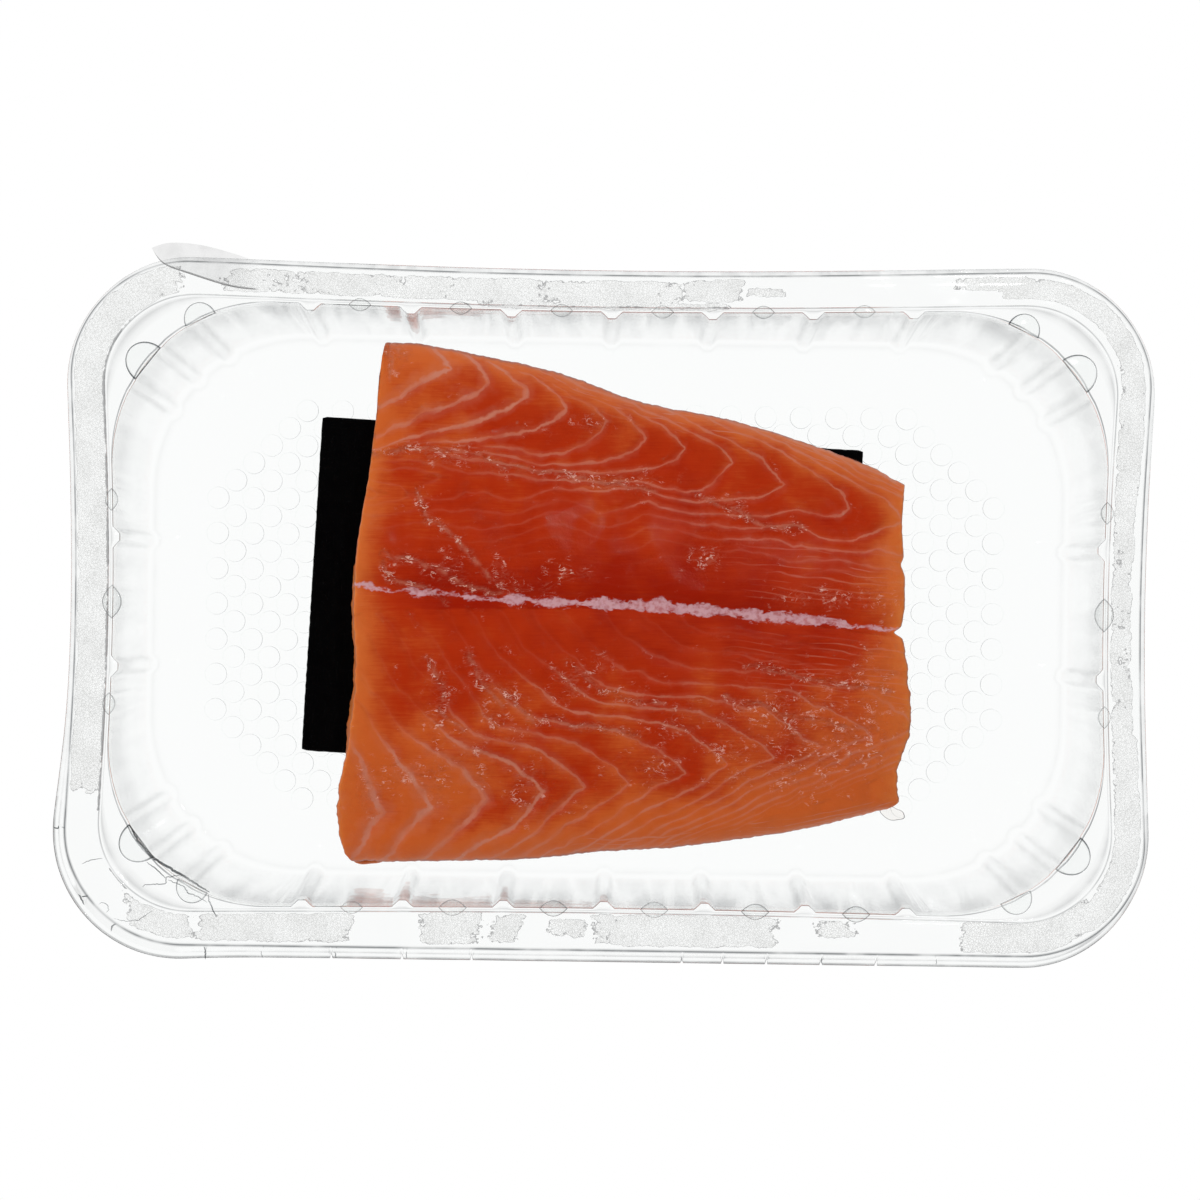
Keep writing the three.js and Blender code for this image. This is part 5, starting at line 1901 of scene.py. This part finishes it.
@dataclass
class FilmScrap:
    """The torn scrap of lid film on the back left corner of the rim."""

    bottom: float = 40.3
    thickness: float = 0.12
    clearance: float = 0.12
    back: list = field(default_factory=lambda: [
        [-114.2, 87.7], [-109.7, 89.0], [-102.3, 88.6], [-93.6, 86.5], [-86.9, 84.2]])
    front: list = field(default_factory=lambda: [
        [-114.2, 87.7], [-111.2, 83.8], [-104.9, 81.4], [-94.7, 78.4], [-87.4, 77.6]])

    def build(self, material: bpy.types.Material) -> None:
        """Makes the scrap: a sheet between its two long edges, rippled by under 0.15 mm, made double.

        Args:
            material: the film's finish.
        """
        rows, columns = 29, 60
        u, v = np.meshgrid(np.linspace(0, 1, columns), np.linspace(0, 1, rows))
        at = through(self.front, u) * (1 - v[..., None]) + through(self.back, u) * v[..., None]
        lift = 0.10 * Ripple(41, 6.0).at(at[..., 0], at[..., 1])
        low = np.concatenate([at, (self.bottom + self.clearance + lift)[..., None]], -1).reshape(-1, 3)
        high = low + [0, 0, self.thickness]
        grid = grid_faces(rows, columns)
        n = rows * columns
        index = np.arange(n).reshape(rows, columns)
        loop = np.concatenate([index[0, :-1], index[:-1, -1], index[-1, :0:-1], index[:0:-1, 0]])
        side = np.stack([loop, np.roll(loop, -1), np.roll(loop, -1) + n, loop + n], -1)
        cut = smoothstep(0.08, 0.01, v) * smoothstep(0.0, 0.2, u) * smoothstep(1.0, 0.9, u)
        marks = {"cut": np.tile(cut.reshape(-1), 2), "fade": np.tile(smoothstep(1.0, 0.7, u).reshape(-1), 2)}
        piece = make_piece("film_scrap_sheet", np.concatenate([low, high]), [grid[:, ::-1], grid + n, side],
                           material, Slot.FILM, marks)
        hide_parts("film_remnant")


@dataclass
class Bead:
    """A low dome with an uneven rim: a bead of juice or a torn bit of flesh."""

    centre: tuple[float, float]
    size: tuple[float, float]
    bottom: float
    rise: float
    turn: float
    seed: int
    sides: int = 48
    turns: tuple = (-25, 0, 15, 30, 45, 60, 75)

    def shape(self) -> tuple[np.ndarray, list[np.ndarray]]:
        """Points and faces: rings of an ellipse whose rim waves, rising by a quarter circle.

        Returns:
            Points and faces of the closed dome.
        """
        t = np.linspace(0, 2 * np.pi, self.sides, endpoint=False)
        draw = np.random.default_rng(self.seed)
        wave = 1 + sum(draw.uniform(0.01, 0.05) * np.sin(k * t + draw.uniform(0, 6)) for k in range(2, 7))
        rings = []
        for angle in np.radians(self.turns):
            out = math.cos(angle)
            up = self.rise * (math.sin(angle) if angle > 0 else math.sin(angle) * 0.6)
            x, y = self.size[0] * out * wave * np.cos(t), self.size[1] * out * wave * np.sin(t)
            rings.append(np.column_stack([x, y, np.full_like(x, up)]))
        low = rings[0][0, 2]
        cloud, faces = capped(rings, [0, 0, low], [0, 0, self.rise])
        x, y = turned(cloud[:, 0], cloud[:, 1], self.turn)
        z = cloud[:, 2] - low + self.bottom
        return np.column_stack([x + self.centre[0], y + self.centre[1], z]), faces


def flesh_marks(count: int, tone: float, rim: float, outline: float) -> dict[str, np.ndarray]:
    """The marks of a small torn bit of flesh: no sheets, no white line, one tone.

    Args:
        count: number of points.
        tone: 0 for the deepest flesh to 1 for the lightest.
        rim: share of the pale rim's colour, a painted glow of light through thin flesh.
        outline: share of the purple-grey outline's colour, partly darker edge tissue and partly painted
            shade.

    Returns:
        One array per mark.
    """
    values = {"layer": 0.5, "steep": 0.05, "sheet_half": 0.1, "sheet_pale": 0.0, "line": 30.0,
              "line_half": 0.1,
              "rim": rim, "tone": tone, "crumple": 0.12, "veil": 0.0, "outline": outline, "crease": 0.0,
              "strip": 0.5, "streaks": 0.0}
    return {name: np.full(count, value) for name, value in values.items()}


# ---- the studio ----

@dataclass
class Studio:
    """A light-table floor, an even pale room, one soft and one small lamp, and the camera above."""

    camera_at: tuple[float, float, float] = (-2.01, 1.28, 800.0)
    camera_turn: float = 0.8
    lens: float = 92.05

    def floor(self) -> None:
        """A pale floor that glows evenly, as a light table does."""
        mesh = bpy.data.meshes.new("light_table")
        half = 3.0
        mesh.from_pydata([(-half, -half, -0.0005), (half, -half, -0.0005), (half, half, -0.0005),
                          (-half, half, -0.0005)], [], [(0, 1, 2, 3)])
        w = Weave("light_table_white")
        table = w.shader("ShaderNodeEmission", Color=(1.0, 1.0, 1.0, 1.0), Strength=1.0)
        mesh.materials.append(w.done(table))
        plane = bpy.data.objects.new("light_table", mesh)
        bpy.context.scene.collection.objects.link(plane)

    def room(self) -> None:
        """A grey-white room, dark straight above, so that nothing glares into the camera."""
        world = bpy.data.worlds.new("room")
        world.use_nodes = True
        tree = world.node_tree
        nodes = tree.nodes
        coordinates = nodes.new("ShaderNodeTexCoord")
        split = nodes.new("ShaderNodeSeparateXYZ")
        ramp = nodes.new("ShaderNodeValToRGB")
        tree.links.new(coordinates.outputs["Generated"], split.inputs[0])
        tree.links.new(split.outputs["Z"], ramp.inputs["Fac"])
        stops = ramp.color_ramp.elements
        stops[0].position, stops[0].color = 0.0, (0.80, 0.80, 0.80, 1.0)
        stops[1].position, stops[1].color = 0.78, (0.02, 0.02, 0.022, 1.0)
        middle = ramp.color_ramp.elements.new(0.45)
        middle.color = (0.80, 0.81, 0.83, 1.0)
        tree.links.new(ramp.outputs["Color"], nodes["Background"].inputs["Color"])
        nodes["Background"].inputs["Strength"].default_value = 0.8
        bpy.context.scene.world = world

    def lamp(self, name: str, at: tuple[float, float, float], size: float, power: float,
             shines: bool) -> None:
        """An area lamp aimed at the pack's middle.

        Args:
            name: the lamp's name.
            at: its place in metres.
            size: its width in metres.
            power: its power in watts.
            shines: True lets it show in wet and glossy surfaces.
        """
        data = bpy.data.lights.new(name, "AREA")
        data.size, data.energy = size, power
        lamp = bpy.data.objects.new(name, data)
        lamp.location = at
        heading = math.atan2(at[1], at[0])
        lamp.rotation_euler = (0.0, math.atan2(math.hypot(at[0], at[1]), at[2]), heading)
        lamp.visible_glossy = shines
        bpy.context.scene.collection.objects.link(lamp)

    def camera(self) -> None:
        """The camera straight above, at the photograph's height and framing."""
        data = bpy.data.cameras.new("camera")
        data.lens, data.sensor_width = self.lens, 36.0
        data.clip_start, data.clip_end = 0.01, 20.0
        camera = bpy.data.objects.new("camera", data)
        camera.location = [v * MM for v in self.camera_at]
        camera.rotation_euler = (0.0, 0.0, math.radians(self.camera_turn))
        bpy.context.scene.collection.objects.link(camera)
        bpy.context.scene.camera = camera

    def build(self) -> None:
        """Sets up the whole studio."""
        self.floor()
        self.room()
        self.lamp("soft_key", (-0.30, 0.22, 1.1), 0.5, 7.4, False)
        self.lamp("small_key", (0.20, 0.24, 0.9), 0.04, 0.8, True)
        self.camera()
        bpy.context.scene.view_settings.view_transform = "Standard"


def main() -> None:
    """Builds the pack and its studio, piece by piece."""
    logging.basicConfig(level=logging.INFO, format="%(name)s %(message)s")
    Studio().build()
    plastic = ClearPlastic()
    sealed = plastic.material("clear_tray_sheet", 0.30, 0.45, seal=True)
    clear = plastic.material("clear_tray_lug", 0.20, 0.4)
    faint = plastic.material("clear_tray_dimple", 0.04, 0.04)
    tray = Tray()
    tray.shell(plastic.material("clear_tray_wall", 0.72, 0.65), sealed)
    tray.lugs(clear)
    tray.dimples(faint)
    Cracks().build(faint)
    Pad().build(BlackNonwoven().material())
    flesh = WetFlesh().material()
    Fillet().build(flesh)
    bits = [("torn_bit_front", Bead((-60.6, -66.0), (4.0, 1.3), 3.4, 2.2, 8.0, 9), (0.9, 0.7, 0.15)),
            ("torn_bit_left", Bead((-67.8, -48.6), (0.9, 3.9), 4.4, 3.6, -4.0, 12), (0.8, 0.4, 0.45))]
    for name, bit, look in bits:
        points, faces = bit.shape()
        make_piece(name, points, faces, flesh, Slot.FLESH, flesh_marks(len(points), *look))
    FilmScrap().build(HazyFilm().material())
    drop = Bead((74.8, -52.4), (3.1, 1.8), 1.4, 2.2, -12.0, 51)
    make_piece("juice_bead", *drop.shape(), MeatJuice().material(), Slot.FLESH)


if __name__ == "__main__":
    main()
